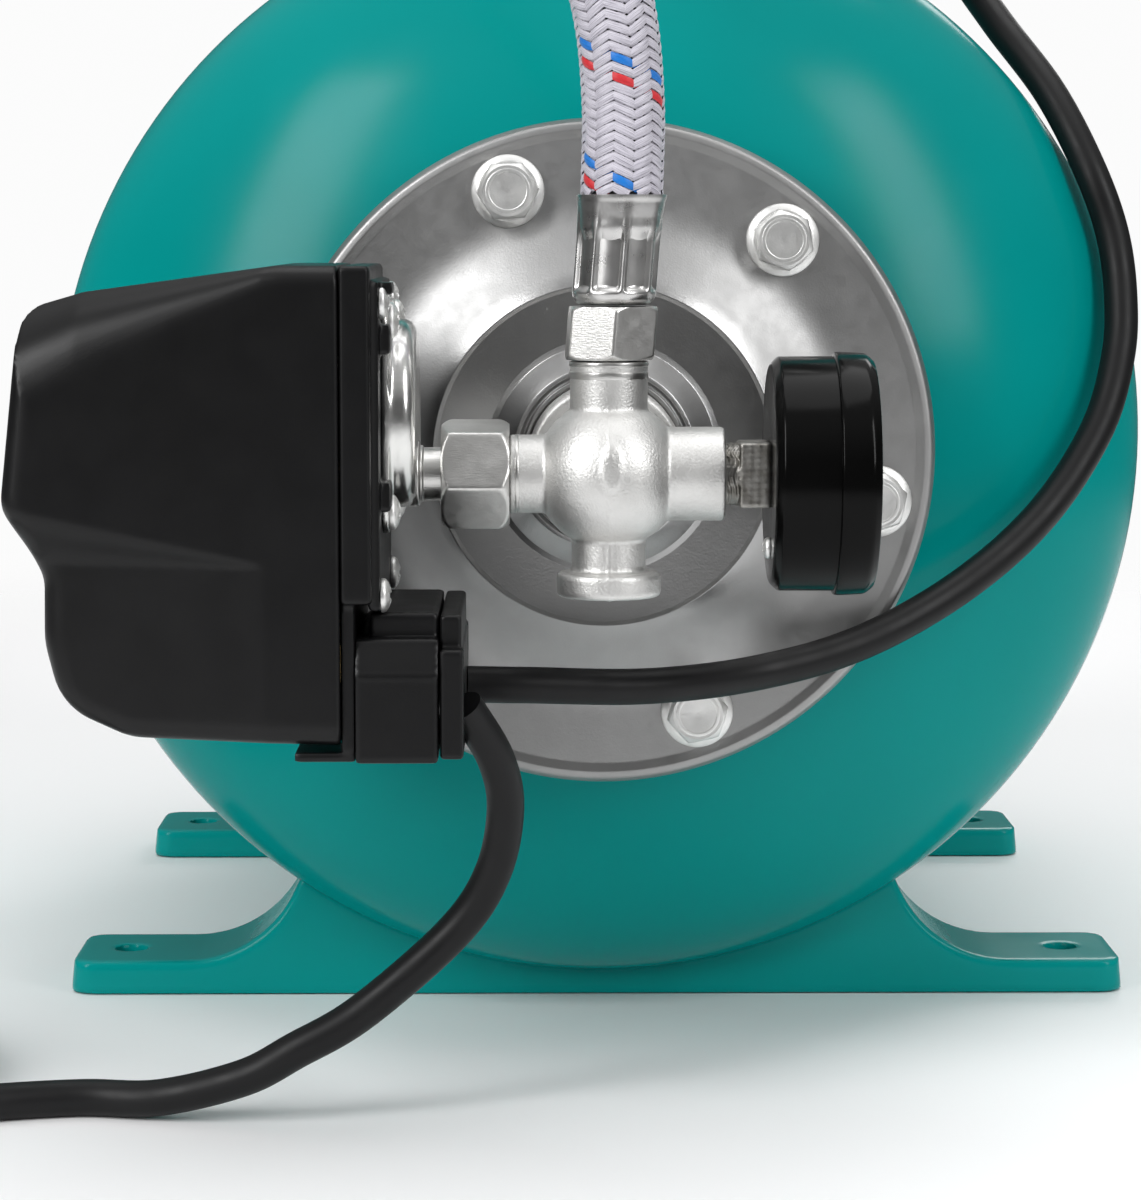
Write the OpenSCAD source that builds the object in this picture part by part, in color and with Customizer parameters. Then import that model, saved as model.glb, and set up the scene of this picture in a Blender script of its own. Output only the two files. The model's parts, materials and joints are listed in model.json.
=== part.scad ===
/* [Tank] */
// Outside diameter of the pressure tank
tank_d = 280; // [276:1:282]
// Length of the straight wall of the tank
tank_wall_len = 238; // [236:1:242]
// Depth of each pressed tank end
tank_dome = 62; // [60:0.5:63]
// Height of the tank axis above the floor
tank_z = 147.5; // [146:0.5:148]
// Sheet thickness of the tank wall
tank_t = 2; // [1.5:0.1:2.5]

/* [Feet] */
// Length of each foot across the tank
foot_len = 280; // [274:1:286]
// Width of each foot along the tank
foot_w = 38; // [36:1:42]
// Height of the flat ends of a foot
foot_h = 9; // [8:0.5:10]
// Distance between the bolt holes across the tank
foot_hole_x = 250; // [246:1:252]
// Distance between the bolt holes along the tank
foot_hole_y = 200; // [196:1:202]
// Diameter of a foot bolt hole
foot_hole_d = 8.5; // [7:0.1:9]

/* [Flange] */
// Outside diameter of the counter-flange
flange_d = 160; // [158:1:164]
// Diameter of the circle that the flange bolts stand on
flange_pcd = 133; // [131:0.5:135]
// Number of flange bolts
flange_bolt_count = 6; // [6, 8]

/* [Fitting] */
// Y of the five-way fitting's axis
fit_y = -250; // [-251:0.5:-249]
// Diameter of the round middle of the five-way fitting
ball_d = 30.5; // [30:0.1:31]
// Diameter of the water outlet bore
outlet_bore_d = 13; // [12:0.1:13.5]

/* [Gauge] */
// Diameter of the gauge case
gauge_d = 52; // [50:0.5:53]
// Diameter of the gauge bezel
bezel_d = 54; // [53.5:0.1:55]

/* [Pump] */
// Height of the pump and motor axis above the floor
pump_z = 388; // [387:0.5:390]
// Outside diameter of the pump casing
casing_d = 150; // [148:0.5:152]
// Diameter of the impeller
impeller_d = 118; // [110:1:120]
// Diameter of the motor housing under the fins
motor_d = 120; // [118:0.5:122]
// Diameter of the rotor
rotor_d = 62; // [60:0.5:63]
// Air gap between rotor and stator
air_gap = 0.4; // [0.3:0.05:0.5]

/* [Leads] */
// Diameter of both electric leads
lead_d = 8.4; // [8:0.1:8.6]
// Diameter of the braided hose
hose_d = 18.4; // [18:0.1:18.6]

/* [Hidden] */
$fn = 64;
eps = 0.02;
tank_r = tank_d / 2;
wall_y = tank_wall_len / 2;
fit_z = 147;

teal = [0, 0.55, 0.53];
steel = [0.78, 0.78, 0.79];
nickel = [0.82, 0.82, 0.8];
zinc = [0.7, 0.7, 0.68];
black = [0.1, 0.1, 0.11];
rubber = [0.16, 0.16, 0.17];
brass = [0.8, 0.65, 0.3];
copper = [0.75, 0.42, 0.25];
alu = [0.66, 0.67, 0.68];
white = [0.93, 0.93, 0.9];

// Counter-flange: back plane and face
flange_back = -wall_y - tank_dome - 3;
flange_t = 3;
flange_face = flange_back - flange_t;
flange_r = flange_d / 2;
collar_r = 74;
collar_bore = 50;
bolt_r = 4;

// Pressure switch: plate at the dish side, and the cover's far side
plate_x = -58;
switch_y = [-282, -218];
cover_t = 2.5;
dish_z = 160.5;
dish_screws = [for (y = [-16, 16], z = [-20.8, 20.8]) [y, z]];
base_front_x = -51.2;
base_pad_x = -49.5;
lever_pivot = [-66, 134];
lever_pivot_r = 1.5;
plunger_r = 3.1;
spring_studs = [[-246, 170, 3], [-266, 170, 2]];
gland_z = 98;
gland_x = -32;
gland_y = [-267, -235];

// Pump and motor, from suction port to fan cover
casing_y = [-150, -40];
casing_r = casing_d / 2;
casing_lip_r = 84;
casing_bolt_pcr = 80;
bracket_y = [-37, -14];
motor_y = [-14, 134];
motor_r = motor_d / 2;
fan_y = [142, 160];
cover_end_y = 190;
shaft_r = 7;
port_thread_r = 15.15;
outlet_y = -105;
outlet_top = pump_z + casing_r + 13;
saddle_z = [296, 299];
screw_x = 38;
screw_y = [22, 78];
box_z = [452, 486];
box_lid_z = 493;
box_gland = [40, 467];
box_gland_x = 50;

// Outlet elbow and the hose's upper end
elbow = [0, outlet_y, 500];
elbow_turn = -30;
arm_len = 30;
nut_len = 11.7;
ferrule_len = 24;
hose_from = [2.8, fit_y, 208.4];
hose_arm = arm_len + nut_len + ferrule_len + 0.7;
hose_to = elbow + hose_arm * [sin(elbow_turn), -cos(elbow_turn), 0];

// Hose route from the lower ferrule, past the suction port, to the upper one
hose_route = [
    hose_from,
    [3, -250, 230],
    [0.5, -250, 251],
    [-7, -247, 275],
    [-19, -243, 300],
    [-32.5, -239, 325],
    [-46, -235, 350],
    [-59, -231, 374.5],
    [-68, -230.5, 399.5],
    [-70.5, -228.5, 427],
    [-67, -221, 454],
    [-59, -207.5, 475.5],
    [-48, -188, 490.5],
    hose_to
];

// Mains lead, from the gland down to the floor and to the coil
coil_at = [-205, -215];
coil_mid_r = 46;
mains_route = [
    [gland_x, gland_y[0], 97.5],
    [-30.5, -265.5, 95],
    [-25, -259.5, 84.5],
    [-23, -253.5, 72.5],
    [-26, -249, 57],
    [-35, -247, 43],
    [-55.5, -250, 25.5],
    [-70.5, -251.5, 17],
    [-82.5, -250.5, 10.5],
    [-102, -246.5, 5],
    [-120, -243, 4.2],
    [-142, -248, 4.2],
    [-171, -259.5, 4.2],
    [-205, -265.2, 4.2]
];
// Tail of the mains lead, from the coil to the plug
tail_route = [
    [-255.2, -215, 12.6],
    [-255.6, -200, 13.5],
    [-256.5, -184, 17],
    [-257, -168, 19]
];
// Motor lead, from the gland round the tank to the terminal box
motor_route = [
    [gland_x, gland_y[1], gland_z],
    [-17.5, -233, 97.5],
    [10, -223.5, 96],
    [37, -206, 97],
    [62, -196, 103],
    [87, -183, 115],
    [108, -169.5, 131],
    [123, -158.5, 151],
    [129.5, -150.5, 169],
    [131, -144.5, 184],
    [129.5, -139, 200],
    [124, -135, 216.5],
    [115.5, -123, 236],
    [104, -105, 255],
    [96, -85, 272],
    [93, -62, 292],
    [92, -38, 316],
    [92, -15, 343],
    [92.5, 8, 372],
    [96, 27.5, 402],
    [97, 35.5, 428.5],
    [92, 38.5, 444.5],
    [83.5, 40, 455.5],
    [72.5, 40.5, 462.5],
    [60.5, 40.5, 466],
    [box_gland_x, box_gland[0], box_gland[1]]
];

// ---- helpers ----

// Turn a profile of [radius, y] points about an axis along Y at height z
module lathe_y(pts, z = tank_z, x = 0) {
    translate([x, 0, z]) rotate([-90, 0, 0]) rotate_extrude($fn = 96) polygon(pts);
}

// Turn a profile of [radius, x] points about an axis along X
module lathe_x(pts, y = fit_y, z = fit_z) {
    translate([0, y, z]) rotate([0, 90, 0]) rotate_extrude() polygon(pts);
}

// Turn a profile of [radius, z] points about a vertical axis
module lathe_z(pts, x = 0, y = 0) {
    translate([x, y, 0]) rotate_extrude() polygon(pts);
}

// Cylinder along Y from y0 to y1
module rod_y(r, y0, y1, x = 0, z = tank_z, sides = 64) {
    translate([x, y0, z]) rotate([-90, 0, 0]) cylinder(h = y1 - y0, r = r, $fn = sides);
}

// Cylinder along X from x0 to x1
module rod_x(r, x0, x1, y = fit_y, z = fit_z, sides = 64) {
    translate([x0, y, z]) rotate([0, 90, 0]) cylinder(h = x1 - x0, r = r, $fn = sides);
}

// Cylinder along Z from z0 to z1
module rod_z(r, z0, z1, x = 0, y = 0, sides = 64) {
    translate([x, y, z0]) cylinder(h = z1 - z0, r = r, $fn = sides);
}

// Box given by its lowest and highest corners
module block(lo, hi) {
    translate(lo) cube(hi - lo);
}

// Radius of the circle round a hexagon of this width across flats
function hex_r(across) = across / sqrt(3);

// Rectangle with round corners, centred
module round_rect(w, d, r) {
    square([w - 2 * r, d], center = true);
    square([w, d - 2 * r], center = true);
    for (x = [-1, 1], y = [-1, 1])
        translate([x * (w / 2 - r), y * (d / 2 - r)]) circle(r = r);
}

// Points of a pressed end: an ellipse of this radius and depth, from radius r0 to the rim
function dome(rad, depth, y0, dir, r0, n = 18) = [
    for (i = [0 : n])
        let (a = asin(r0 / rad) + (90 - asin(r0 / rad)) * i / n)
            [rad * sin(a), y0 + dir * depth * cos(a)]
];

function reversed(list) = [for (i = [len(list) - 1 : -1 : 0]) list[i]];

function unit(v) = v / norm(v);

// One point of a smooth curve between b and c
function smooth(a, b, c, d, t) =
    0.5 * (2 * b + (c - a) * t + (2 * a - 5 * b + 4 * c - d) * t * t
        + (3 * b - a - 3 * c + d) * t * t * t);

// A smooth curve through the points, each span cut into steps
function curve(p, steps) = let (last = len(p) - 1) concat(
    [for (i = [0 : last - 1], s = [0 : steps - 1])
        smooth(
            i == 0 ? 2 * p[0] - p[1] : p[i - 1], p[i], p[i + 1],
            i == last - 1 ? 2 * p[last] - p[last - 1] : p[i + 2], s / steps)],
    [p[last]]
);

function headings(p) = [
    for (i = [0 : len(p) - 1]) unit(p[min(i + 1, len(p) - 1)] - p[max(i - 1, 0)])
];

// Side directions that turn no more than the curve does
function sides_of(t, i, n) = i == len(t) ? [] :
    let (m = unit(n - (n * t[i]) * t[i])) concat([m], sides_of(t, i + 1, m));

// Round tube along a smooth curve, with a ring of corners at each point
module swept_tube(route, r, corners = 10, steps = 1, side = [0, 0, 1]) {
    p = curve(route, steps);
    t = headings(p);
    s = sides_of(t, 0, side);
    n = corners;
    rings = len(p);
    corner_pts = [
        for (i = [0 : rings - 1], k = [0 : n - 1])
            p[i] + r * (cos(360 * k / n) * s[i] + sin(360 * k / n) * cross(t[i], s[i]))
    ];
    walls = [
        for (i = [0 : rings - 2], k = [0 : n - 1])
            [i * n + k, (i + 1) * n + k, (i + 1) * n + (k + 1) % n, i * n + (k + 1) % n]
    ];
    near_end = [for (k = [0 : n - 1]) k];
    far_end = [for (k = [n - 1 : -1 : 0]) (rings - 1) * n + k];
    polyhedron(corner_pts, concat([near_end], walls, [far_end]), convexity = 10);
}

// Wire wound into an open coil of this height, standing on its end
module coil_spring(r, wire_r, turns, height) {
    per_turn = 14;
    swept_tube(
        [for (i = [0 : turns * per_turn])
            [r * cos(360 * i / per_turn), r * sin(360 * i / per_turn),
                wire_r + (height - 2 * wire_r) * i / (turns * per_turn)]],
        wire_r, corners = 6, side = [1, 0, 0]);
}

// ---- tank ----

module at_flange_bolts() {
    for (i = [0 : flange_bolt_count - 1])
        translate([0, 0, tank_z]) rotate([0, 10 - 360 * i / flange_bolt_count, 0])
            translate([flange_pcd / 2, 0, 0]) children();
}

module tank_shell() {
    valve_r = 8;
    color(teal) difference() {
        union() {
            lathe_y(concat(
                dome(tank_r, tank_dome, -wall_y, -1, collar_bore),
                reversed(dome(tank_r, tank_dome, wall_y, 1, valve_r)),
                dome(tank_r - tank_t, tank_dome - tank_t, wall_y, 1, valve_r),
                reversed(dome(tank_r - tank_t, tank_dome - tank_t, -wall_y, -1, collar_bore))
            ));
            lathe_y([
                [collar_bore, flange_back + 2], [collar_r, flange_back + 2],
                [collar_r, flange_back + 14], [collar_bore, flange_back + 10]
            ]);
        }
        at_flange_bolts() rod_y(bolt_r + 0.15, flange_back - 5, flange_back + 20, z = 0);
    }
}

// Outline of a foot seen along the tank, moved inwards by the sheet thickness for its inside
module foot_outline(inset, floor_z) {
    half = foot_len / 2 - inset;
    top = foot_h - inset;
    bend_x = foot_len / 2 - 31;
    bend_r = 32 + inset;
    crest_z = 34;
    difference() {
        polygon([
            [-half, floor_z], [-half + 1, top], [-bend_x, top], [-bend_x, crest_z],
            [bend_x, crest_z], [bend_x, top], [half - 1, top], [half, floor_z]
        ]);
        for (s = [-1, 1]) translate([s * bend_x, foot_h + 32]) circle(r = bend_r, $fn = 128);
        translate([0, tank_z]) circle(r = tank_r, $fn = 180);
    }
}

// A pressed foot: an open channel whose webs follow the tank. Each of its two bolt holes
// has a collar down to the floor, so that the bolt doesn't crush the channel
module foot(y) {
    sheet = 2;
    hole_r = foot_hole_d / 2;
    color(teal) translate([0, y, 0]) difference() {
        union() {
            difference() {
                intersection() {
                    rotate([90, 0, 0]) linear_extrude(height = foot_w, center = true)
                        foot_outline(0, 0);
                    linear_extrude(height = 60) round_rect(foot_len, foot_w, 7);
                }
                intersection() {
                    rotate([90, 0, 0])
                        linear_extrude(height = foot_w - 2 * sheet, center = true)
                            foot_outline(sheet, -1);
                    translate([0, 0, -1]) linear_extrude(height = 60)
                        round_rect(foot_len - 2 * sheet, foot_w - 2 * sheet, 5);
                }
            }
            for (s = [-1, 1])
                rod_z(hole_r + sheet, 0, foot_h - sheet / 2, x = s * foot_hole_x / 2);
        }
        for (s = [-1, 1]) rod_z(hole_r, -1, foot_h + 1, x = s * foot_hole_x / 2);
    }
}

module front_foot() {
    foot(-foot_hole_y / 2);
}

module rear_foot() {
    foot(foot_hole_y / 2);
}

// Bent plate that carries the motor, welded along the top of the tank
module pump_saddle() {
    half_w = 56;
    leg_t = 3;
    y0 = 2;
    y1 = 98;
    color(teal) difference() {
        union() {
            block([-half_w, y0, saddle_z[0]], [half_w, y1, saddle_z[1]]);
            for (s = [-1, 1])
                translate([s * (half_w - leg_t / 2), 0, 0])
                    block([-leg_t / 2, y0, 270], [leg_t / 2, y1, saddle_z[0] + eps]);
        }
        rod_y(tank_r, y0 - 1, y1 + 1);
        for (x = [-screw_x, screw_x], y = screw_y) rod_z(3.3, 290, 302, x = x, y = y);
    }
}

// Rubber bladder, clamped by its lip between collar and counter-flange
module membrane() {
    t = 2.5;
    r = 128;
    y0 = -100;
    y1 = 60;
    color(rubber) lathe_y(concat(
        [[43, flange_back], [61, flange_back], [61, flange_back + 2], [46, flange_back + 2],
            [46, -150]],
        [for (p = dome(r, 45, y0, -1, 60)) p],
        reversed(dome(r, 60, y1, 1, 0.01)),
        dome(r - t, 60 - t, y1, 1, 0.01),
        reversed(dome(r - t, 45 - t, y0, -1, 60)),
        [[43, -150]]
    ));
}

module tank_flange() {
    f = flange_back;
    r = flange_r;
    color(steel) difference() {
        lathe_y([
            [port_thread_r + 1.5, f], [43, f - 2], [57, f], [r - 2, f], [r - 1.6, f + 4],
            [r - 0.4, f + 4], [r, f - 0.5], [r - 0.7, f - 2.6], [r - 2, f - 3.4],
            [r - 3.4, f - 3], [59, f - 3], [56, f - 3.4], [54, f - 4.6],
            [41.6, f - 11.4], [41, f - 12], [40, f - 12], [27, f - 12], [26.4, f - 12.4],
            [21.4, f - 17], [21, f - 17.4], [18.6, f - 17.4], [port_thread_r + 1.5, f - 16]
        ]);
        at_flange_bolts() rod_y(bolt_r + 0.2, flange_face - 5, f + 5, z = 0);
    }
}

module flange_bolts() {
    head_r = 8.8;
    color(nickel) at_flange_bolts() {
        rod_y(head_r, flange_face - 1.6, flange_face, z = 0);
        rod_y(hex_r(13), flange_face - 6.6, flange_face - 1.6 + eps, z = 0, sides = 6);
        rod_y(bolt_r, flange_face - eps, flange_back + 16, z = 0);
    }
}

module air_valve() {
    end = wall_y + tank_dome;
    color(brass) difference() {
        union() {
            rod_y(8, end - 6, end + 1);
            rod_y(hex_r(14), end + 1 - eps, end + 5, sides = 6);
            rod_y(4, end + 5 - eps, end + 17);
        }
        rod_y(2.6, end - 7, end + 18);
    }
}

module air_valve_pin() {
    end = wall_y + tank_dome;
    color(brass) {
        rod_y(1, end - 2, end + 16.4);
        rod_y(2.52, end + 2, end + 5);
    }
}

module air_valve_cap() {
    end = wall_y + tank_dome;
    color(black) difference() {
        rod_y(5.4, end + 5, end + 21);
        rod_y(4, end + 4, end + 17);
        rod_y(3, end + 16, end + 19.5);
    }
}

// ---- five-way fitting and hose ----

module fiveway_body() {
    thread_r = port_thread_r + 1.4;
    color(nickel) difference() {
        union() {
            translate([0, fit_y, fit_z]) sphere(r = ball_d / 2);
            rod_x(8.7, -30.2, 0);
            lathe_x([[0, 0], [10, 0], [10.5, 15], [10.5, 25], [9.8, 25.7], [0, 25.7]]);
            lathe_z([[0, fit_z], [8.5, fit_z], [8.5, 171.6], [8, 172.2], [7.4, 172.2],
                [7.4, 182], [0, 182]], y = fit_y);
            lathe_z([[0, 119.7], [11, 119.7], [11.6, 120.4], [11.6, 124.6], [11, 125.2],
                [8.2, 125.8], [8.2, fit_z], [0, fit_z]], y = fit_y);
            rod_y(11.5, fit_y, -218, z = fit_z);
            lathe_y([[0, -222], [17, -222], [18, -221], [18, -204], [thread_r, -202],
                [thread_r, flange_back + 2], [0, flange_back + 2]]);
        }
        rod_z(outlet_bore_d / 2, 119, fit_z, y = fit_y);
        rod_z(5, fit_z, 183, y = fit_y);
        rod_x(4, -31, 0);
        rod_x(6.55, 14, 26);
        rod_x(4, 0, 15);
        rod_y(8, fit_y, flange_back + 3);
    }
}

// Hexagon with its corners cut round, standing on z = 0
module hex_nut(across, len, bore_r) {
    r = hex_r(across);
    difference() {
        intersection() {
            cylinder(h = len, r = r, $fn = 6);
            rotate_extrude() polygon([
                [0, 0], [r - 1.4, 0], [r, 1.2], [r, len - 1.2], [r - 1.4, len], [0, len]
            ]);
        }
        translate([0, 0, -1]) cylinder(h = len + 2, r = bore_r);
    }
}

// Places the lower or the upper end of the hose: z runs from the fitting into the hose
module at_hose_end(upper, s) {
    if (upper)
        translate(elbow) rotate([0, 0, elbow_turn]) rotate([90, 0, 0])
            translate([0, 0, arm_len + s]) children();
    else
        translate([2.8 * s / 36, fit_y, 172.3 + s]) children();
}

module hose_nuts() {
    color(nickel) for (upper = [false, true])
        at_hose_end(upper, 0) rotate([0, 0, 30]) hex_nut(19, nut_len, 7.5);
}

// Crimped sleeve with eight pressed flutes
module ferrule() {
    flutes = 8;
    r = 9.7;
    difference() {
        rotate_extrude() polygon([
            [5.5, 0], [7.6, 0], [8.6, 0.8], [8.8, 3.4], [r, 5.2], [r, ferrule_len - 2],
            [r + 0.5, ferrule_len], [8.6, ferrule_len], [8.3, 3], [5.5, 3]
        ]);
        for (i = [0 : flutes - 1])
            rotate([0, 0, 360 * i / flutes])
                translate([r + 2.4, 0, 7]) cylinder(h = ferrule_len - 11, r = 3);
    }
}

module hose_ferrules() {
    color(steel) for (upper = [false, true])
        at_hose_end(upper, nut_len + 0.4) ferrule();
}

module braided_hose() {
    color(white) swept_tube(hose_route, hose_d / 2, corners = 12, steps = 2, side = [1, 0, 0]);
}

module outlet_elbow() {
    color(nickel) difference() {
        union() {
            rod_z(port_thread_r - 0.05, outlet_top - 12, outlet_top + 1, y = outlet_y);
            rod_z(hex_r(34), outlet_top, outlet_top + 9, y = outlet_y, sides = 6);
            rod_z(11, outlet_top + 8, elbow[2], y = outlet_y);
            translate(elbow) sphere(r = 12);
            translate(elbow) rotate([0, 0, elbow_turn]) rotate([90, 0, 0]) {
                cylinder(h = arm_len - 0.2, r = 10);
                cylinder(h = arm_len + 9, r = 7.4);
            }
        }
        rod_z(6.5, outlet_top - 13, elbow[2], y = outlet_y);
        translate(elbow) sphere(r = 6.5);
        translate(elbow) rotate([0, 0, elbow_turn]) rotate([90, 0, 0])
            cylinder(h = arm_len + 10, r = 5);
    }
}

// ---- gauge, its dial facing +X ----

case_x = [35.5, 49.5];
dial_x = 47.6;
bezel_front = 58.4;
sector_drop = 10;
movement_x = 37.5;
pivot_r = 0.6;
pinion_r = 0.95;

module gauge_case() {
    r = gauge_d / 2;
    color(black) difference() {
        lathe_x([[6, case_x[0]], [r - 2, case_x[0]], [r, case_x[0] + 2], [r, case_x[1]],
            [r - 1.5, case_x[1]], [r - 1.5, case_x[0] + 2], [6, case_x[0] + 2]]);
        rod_x(1.3, case_x[0] - 1, case_x[0] + 3, z = fit_z - 16, y = fit_y - 6);
    }
}

module gauge_bezel() {
    r = bezel_d / 2;
    color(black) lathe_x([[22.6, bezel_front - 1], [24, bezel_front], [r - 2, bezel_front],
        [r - 0.2, bezel_front - 2], [r, case_x[1] + 0.8], [r - 0.6, case_x[1]],
        [24.6, case_x[1]], [24.6, bezel_front - 2.8], [22.6, bezel_front - 2.8]]);
}

module gauge_lens() {
    color([0.85, 0.9, 0.92, 0.4]) rod_x(24.6, bezel_front - 4.6, bezel_front - 2.8);
}

module gauge_dial() {
    color(white) difference() {
        union() {
            rod_x(23.5, dial_x, dial_x + 0.8);
            for (y = [-14, 14]) rod_x(1.5, case_x[0] + 2, dial_x + eps, y = fit_y + y);
        }
        rod_x(pivot_r + 0.4, dial_x - 1, dial_x + 2);
    }
}

// Pointer on its shaft, with the pinion that the sector drives; at rest it points at zero
module gauge_pointer() {
    x = dial_x + 2;
    color(black) translate([0, fit_y, fit_z]) rotate([-45, 0, 0]) rotate([0, 90, 0]) {
        translate([0, 0, movement_x + 0.5]) cylinder(h = x - movement_x, r = pivot_r);
        translate([0, 0, x]) cylinder(h = 1.2, r = 3);
        translate([0, 0, x]) linear_extrude(height = 0.6)
            polygon([[-6, -1.6], [-6, 1.6], [19, 0.3], [19, -0.3]]);
        translate([0, 0, 40.5]) cylinder(h = 1.6, r = pinion_r);
    }
}

module gauge_stem() {
    square_w = 14.3;
    color(brass) difference() {
        union() {
            rod_x(6.5, 16, 29);
            block([28.7, fit_y - square_w / 2, fit_z - square_w / 2],
                [35.5, fit_y + square_w / 2, fit_z + square_w / 2]);
            rod_x(5.95, 35.4, 37.5);
            block([37.5, fit_y - 5, fit_z - 22], [39.8, fit_y + 5, fit_z + 5]);
            block([37.5, fit_y - 4, fit_z - 22], [46, fit_y + 4, fit_z - 14]);
        }
        rod_x(1.5, 15, 36.5);
        rod_x(pivot_r + 0.05, 37, 40);
        rod_x(pivot_r + 0.05, 37, 40, z = fit_z - sector_drop);
    }
}

// Flattened tube bent into a C, soldered into the stem's block
module gauge_bourdon_tube() {
    color(copper) translate([42.5, fit_y, fit_z]) rotate([0, 90, 0])
        rotate([0, 0, 15]) rotate_extrude(angle = 250) translate([18, 0]) circle(r = 1.8);
}

// Lever whose round edge turns the pointer's pinion
module gauge_sector() {
    reach = sector_drop - pinion_r - 0.15;
    color(brass) translate([0, fit_y, fit_z - sector_drop]) rotate([0, 90, 0]) {
        translate([0, 0, movement_x + 0.5]) cylinder(h = 4.4, r = pivot_r);
        translate([0, 0, 40.8]) linear_extrude(height = 1) {
            circle(r = 2);
            intersection() {
                circle(r = reach);
                polygon([[1, -1.6], [1, 1.6], [-reach, 5.4], [-reach, -5.4]]);
            }
        }
    }
}

// ---- pressure switch ----

// Cover seen from the front, from the plate at plate_x round its far side
module cover_front(open_x, inset) {
    offset(delta = -inset) polygon([
        [open_x, 193.3], [-71, 193.3], [-116, 187], [-123, 185], [-126.5, 181], [-131, 146],
        [-130.5, 140], [-126.5, 134], [-122.5, 123], [-122.5, 112], [-121, 104.5],
        [-115.5, 97], [-107, 92.5], [-98, 91.4], [open_x, 90]
    ]);
}

// Cover seen from above, narrower at its far side
module cover_plan(open_x, inset) {
    offset(delta = -inset) polygon([
        [open_x, switch_y[0]], [-74, switch_y[0]], [-122, switch_y[0] + 6],
        [-131, switch_y[0] + 13], [-131, switch_y[1] - 13], [-122, switch_y[1] - 6],
        [-74, switch_y[1]], [open_x, switch_y[1]]
    ]);
}

module cover_block(open_x, inset) {
    intersection() {
        translate([0, switch_y[1] + 1, 0]) rotate([90, 0, 0])
            linear_extrude(height = switch_y[1] - switch_y[0] + 2) cover_front(open_x, inset);
        translate([0, 0, 80]) linear_extrude(height = 120) cover_plan(open_x, inset);
    }
}

module switch_cover() {
    color(black) difference() {
        cover_block(plate_x, 0);
        cover_block(plate_x + 10, cover_t);
    }
}

// Plate between cover and dish, with two ears inside for the lever's pivot
module switch_base() {
    ear_y = 27;
    color(black) difference() {
        union() {
            block([plate_x, switch_y[0], 121], [base_front_x, switch_y[1], 193.3]);
            block([plate_x, switch_y[0] + 2, 89], [-55, switch_y[1] - 2, 121 + eps]);
            block([base_front_x - eps, switch_y[0] + 3, 119.4],
                [base_pad_x, switch_y[1] - 3, 190]);
            block([-67, switch_y[0] + 2, 87], [-55, switch_y[0] + 20, 89 + eps]);
            for (s = [-1, 1])
                translate([0, fit_y + s * (ear_y - 1.5), 0])
                    block([lever_pivot[0] - 3, -1.5, lever_pivot[1] - 4],
                        [plate_x + eps, 1.5, lever_pivot[1] + 4]);
        }
        rod_x(plunger_r + 0.05, plate_x - 1, -49);
        rod_x(15, -52, -49, z = dish_z);
        rod_x(8, plate_x - 1, -51, z = 104);
        rod_y(lever_pivot_r + 0.05, fit_y - 30, fit_y + 30, x = lever_pivot[0],
            z = lever_pivot[1]);
    }
}

module switch_dish() {
    flange_sheet = 1.6;
    color(zinc) difference() {
        union() {
            translate([base_pad_x, fit_y, dish_z]) rotate([0, 90, 0])
                linear_extrude(height = flange_sheet) round_rect(50.8, 42, 6);
            lathe_x([[0, base_pad_x + 1], [20.4, base_pad_x + 1], [20.4, -44.8],
                [17.4, -42.2], [0, -42.2]], z = dish_z);
            rod_x(6, -45, -30.4);
            rod_x(9.5, -33.5, -30.4);
        }
        lathe_x([[0, -50], [18.5, -50], [18.5, -46], [16, -44], [0, -44]], z = dish_z);
        rod_x(3, -46, -29);
        for (at = dish_screws) rod_x(1.7, -50, -46, y = fit_y + at[0], z = dish_z + at[1]);
    }
}

module switch_nut() {
    r = hex_r(22);
    color(nickel) translate([-37, fit_y, fit_z]) rotate([0, 90, 0]) difference() {
        intersection() {
            rotate([0, 0, -19]) cylinder(h = 15, r = r, $fn = 6);
            rotate_extrude() polygon([[0, 0], [r - 1.8, 0], [r - 0.5, 1.4], [r, 3],
                [r, 12], [r - 0.5, 13.6], [r - 1.8, 15], [0, 15]]);
        }
        translate([0, 0, -1]) cylinder(h = 5, r = 6.1);
        translate([0, 0, 3.4]) cylinder(h = 3.3, r = 9.6);
        translate([0, 0, 6.6]) cylinder(h = 9, r = 8.72);
    }
}

// Cross-head screws that hold the dish and the plate, and the studs of the two springs
module switch_screws() {
    color(nickel) {
        for (at = dish_screws)
            lathe_x([[0, -56], [1.5, -56], [1.5, -47.9], [3.9, -47.9], [3.4, -46.2],
                [1.6, -45.4], [0, -45.4]], y = fit_y + at[0], z = dish_z + at[1]);
        for (stud = spring_studs) {
            x = stud[2] > 2.5 ? -114 : -104;
            rod_x(stud[2], x, plate_x, y = stud[0], z = stud[1]);
            rod_x(hex_r(3.4 * stud[2]), x + 1, x + 3.6, y = stud[0], z = stud[1], sides = 6);
        }
        for (y = [-275, -225], z = [123.6, 185.5])
            lathe_x([[0, -57], [1.6, -57], [1.6, base_pad_x], [3.7, base_pad_x], [3.2, -47.9],
                [1.4, -47.1], [0, -47.1]], y = y, z = z);
    }
}

module gland_block() {
    color(black) difference() {
        union() {
            block([-55, switch_y[0] + 1, 87], [-38, switch_y[1] - 1, 106]);
            block([-55, switch_y[0] + 3.4, 106 - eps], [-38, switch_y[1] - 3.4, 113.4]);
            block([-55, switch_y[0] + 7, 113.4 - eps], [-38, switch_y[1] - 7, 118.8]);
        }
        for (y = gland_y) rod_x(5, -56, -37, y = y, z = gland_z);
        rod_x(8, -56, -52, z = 104);
    }
}

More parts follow.
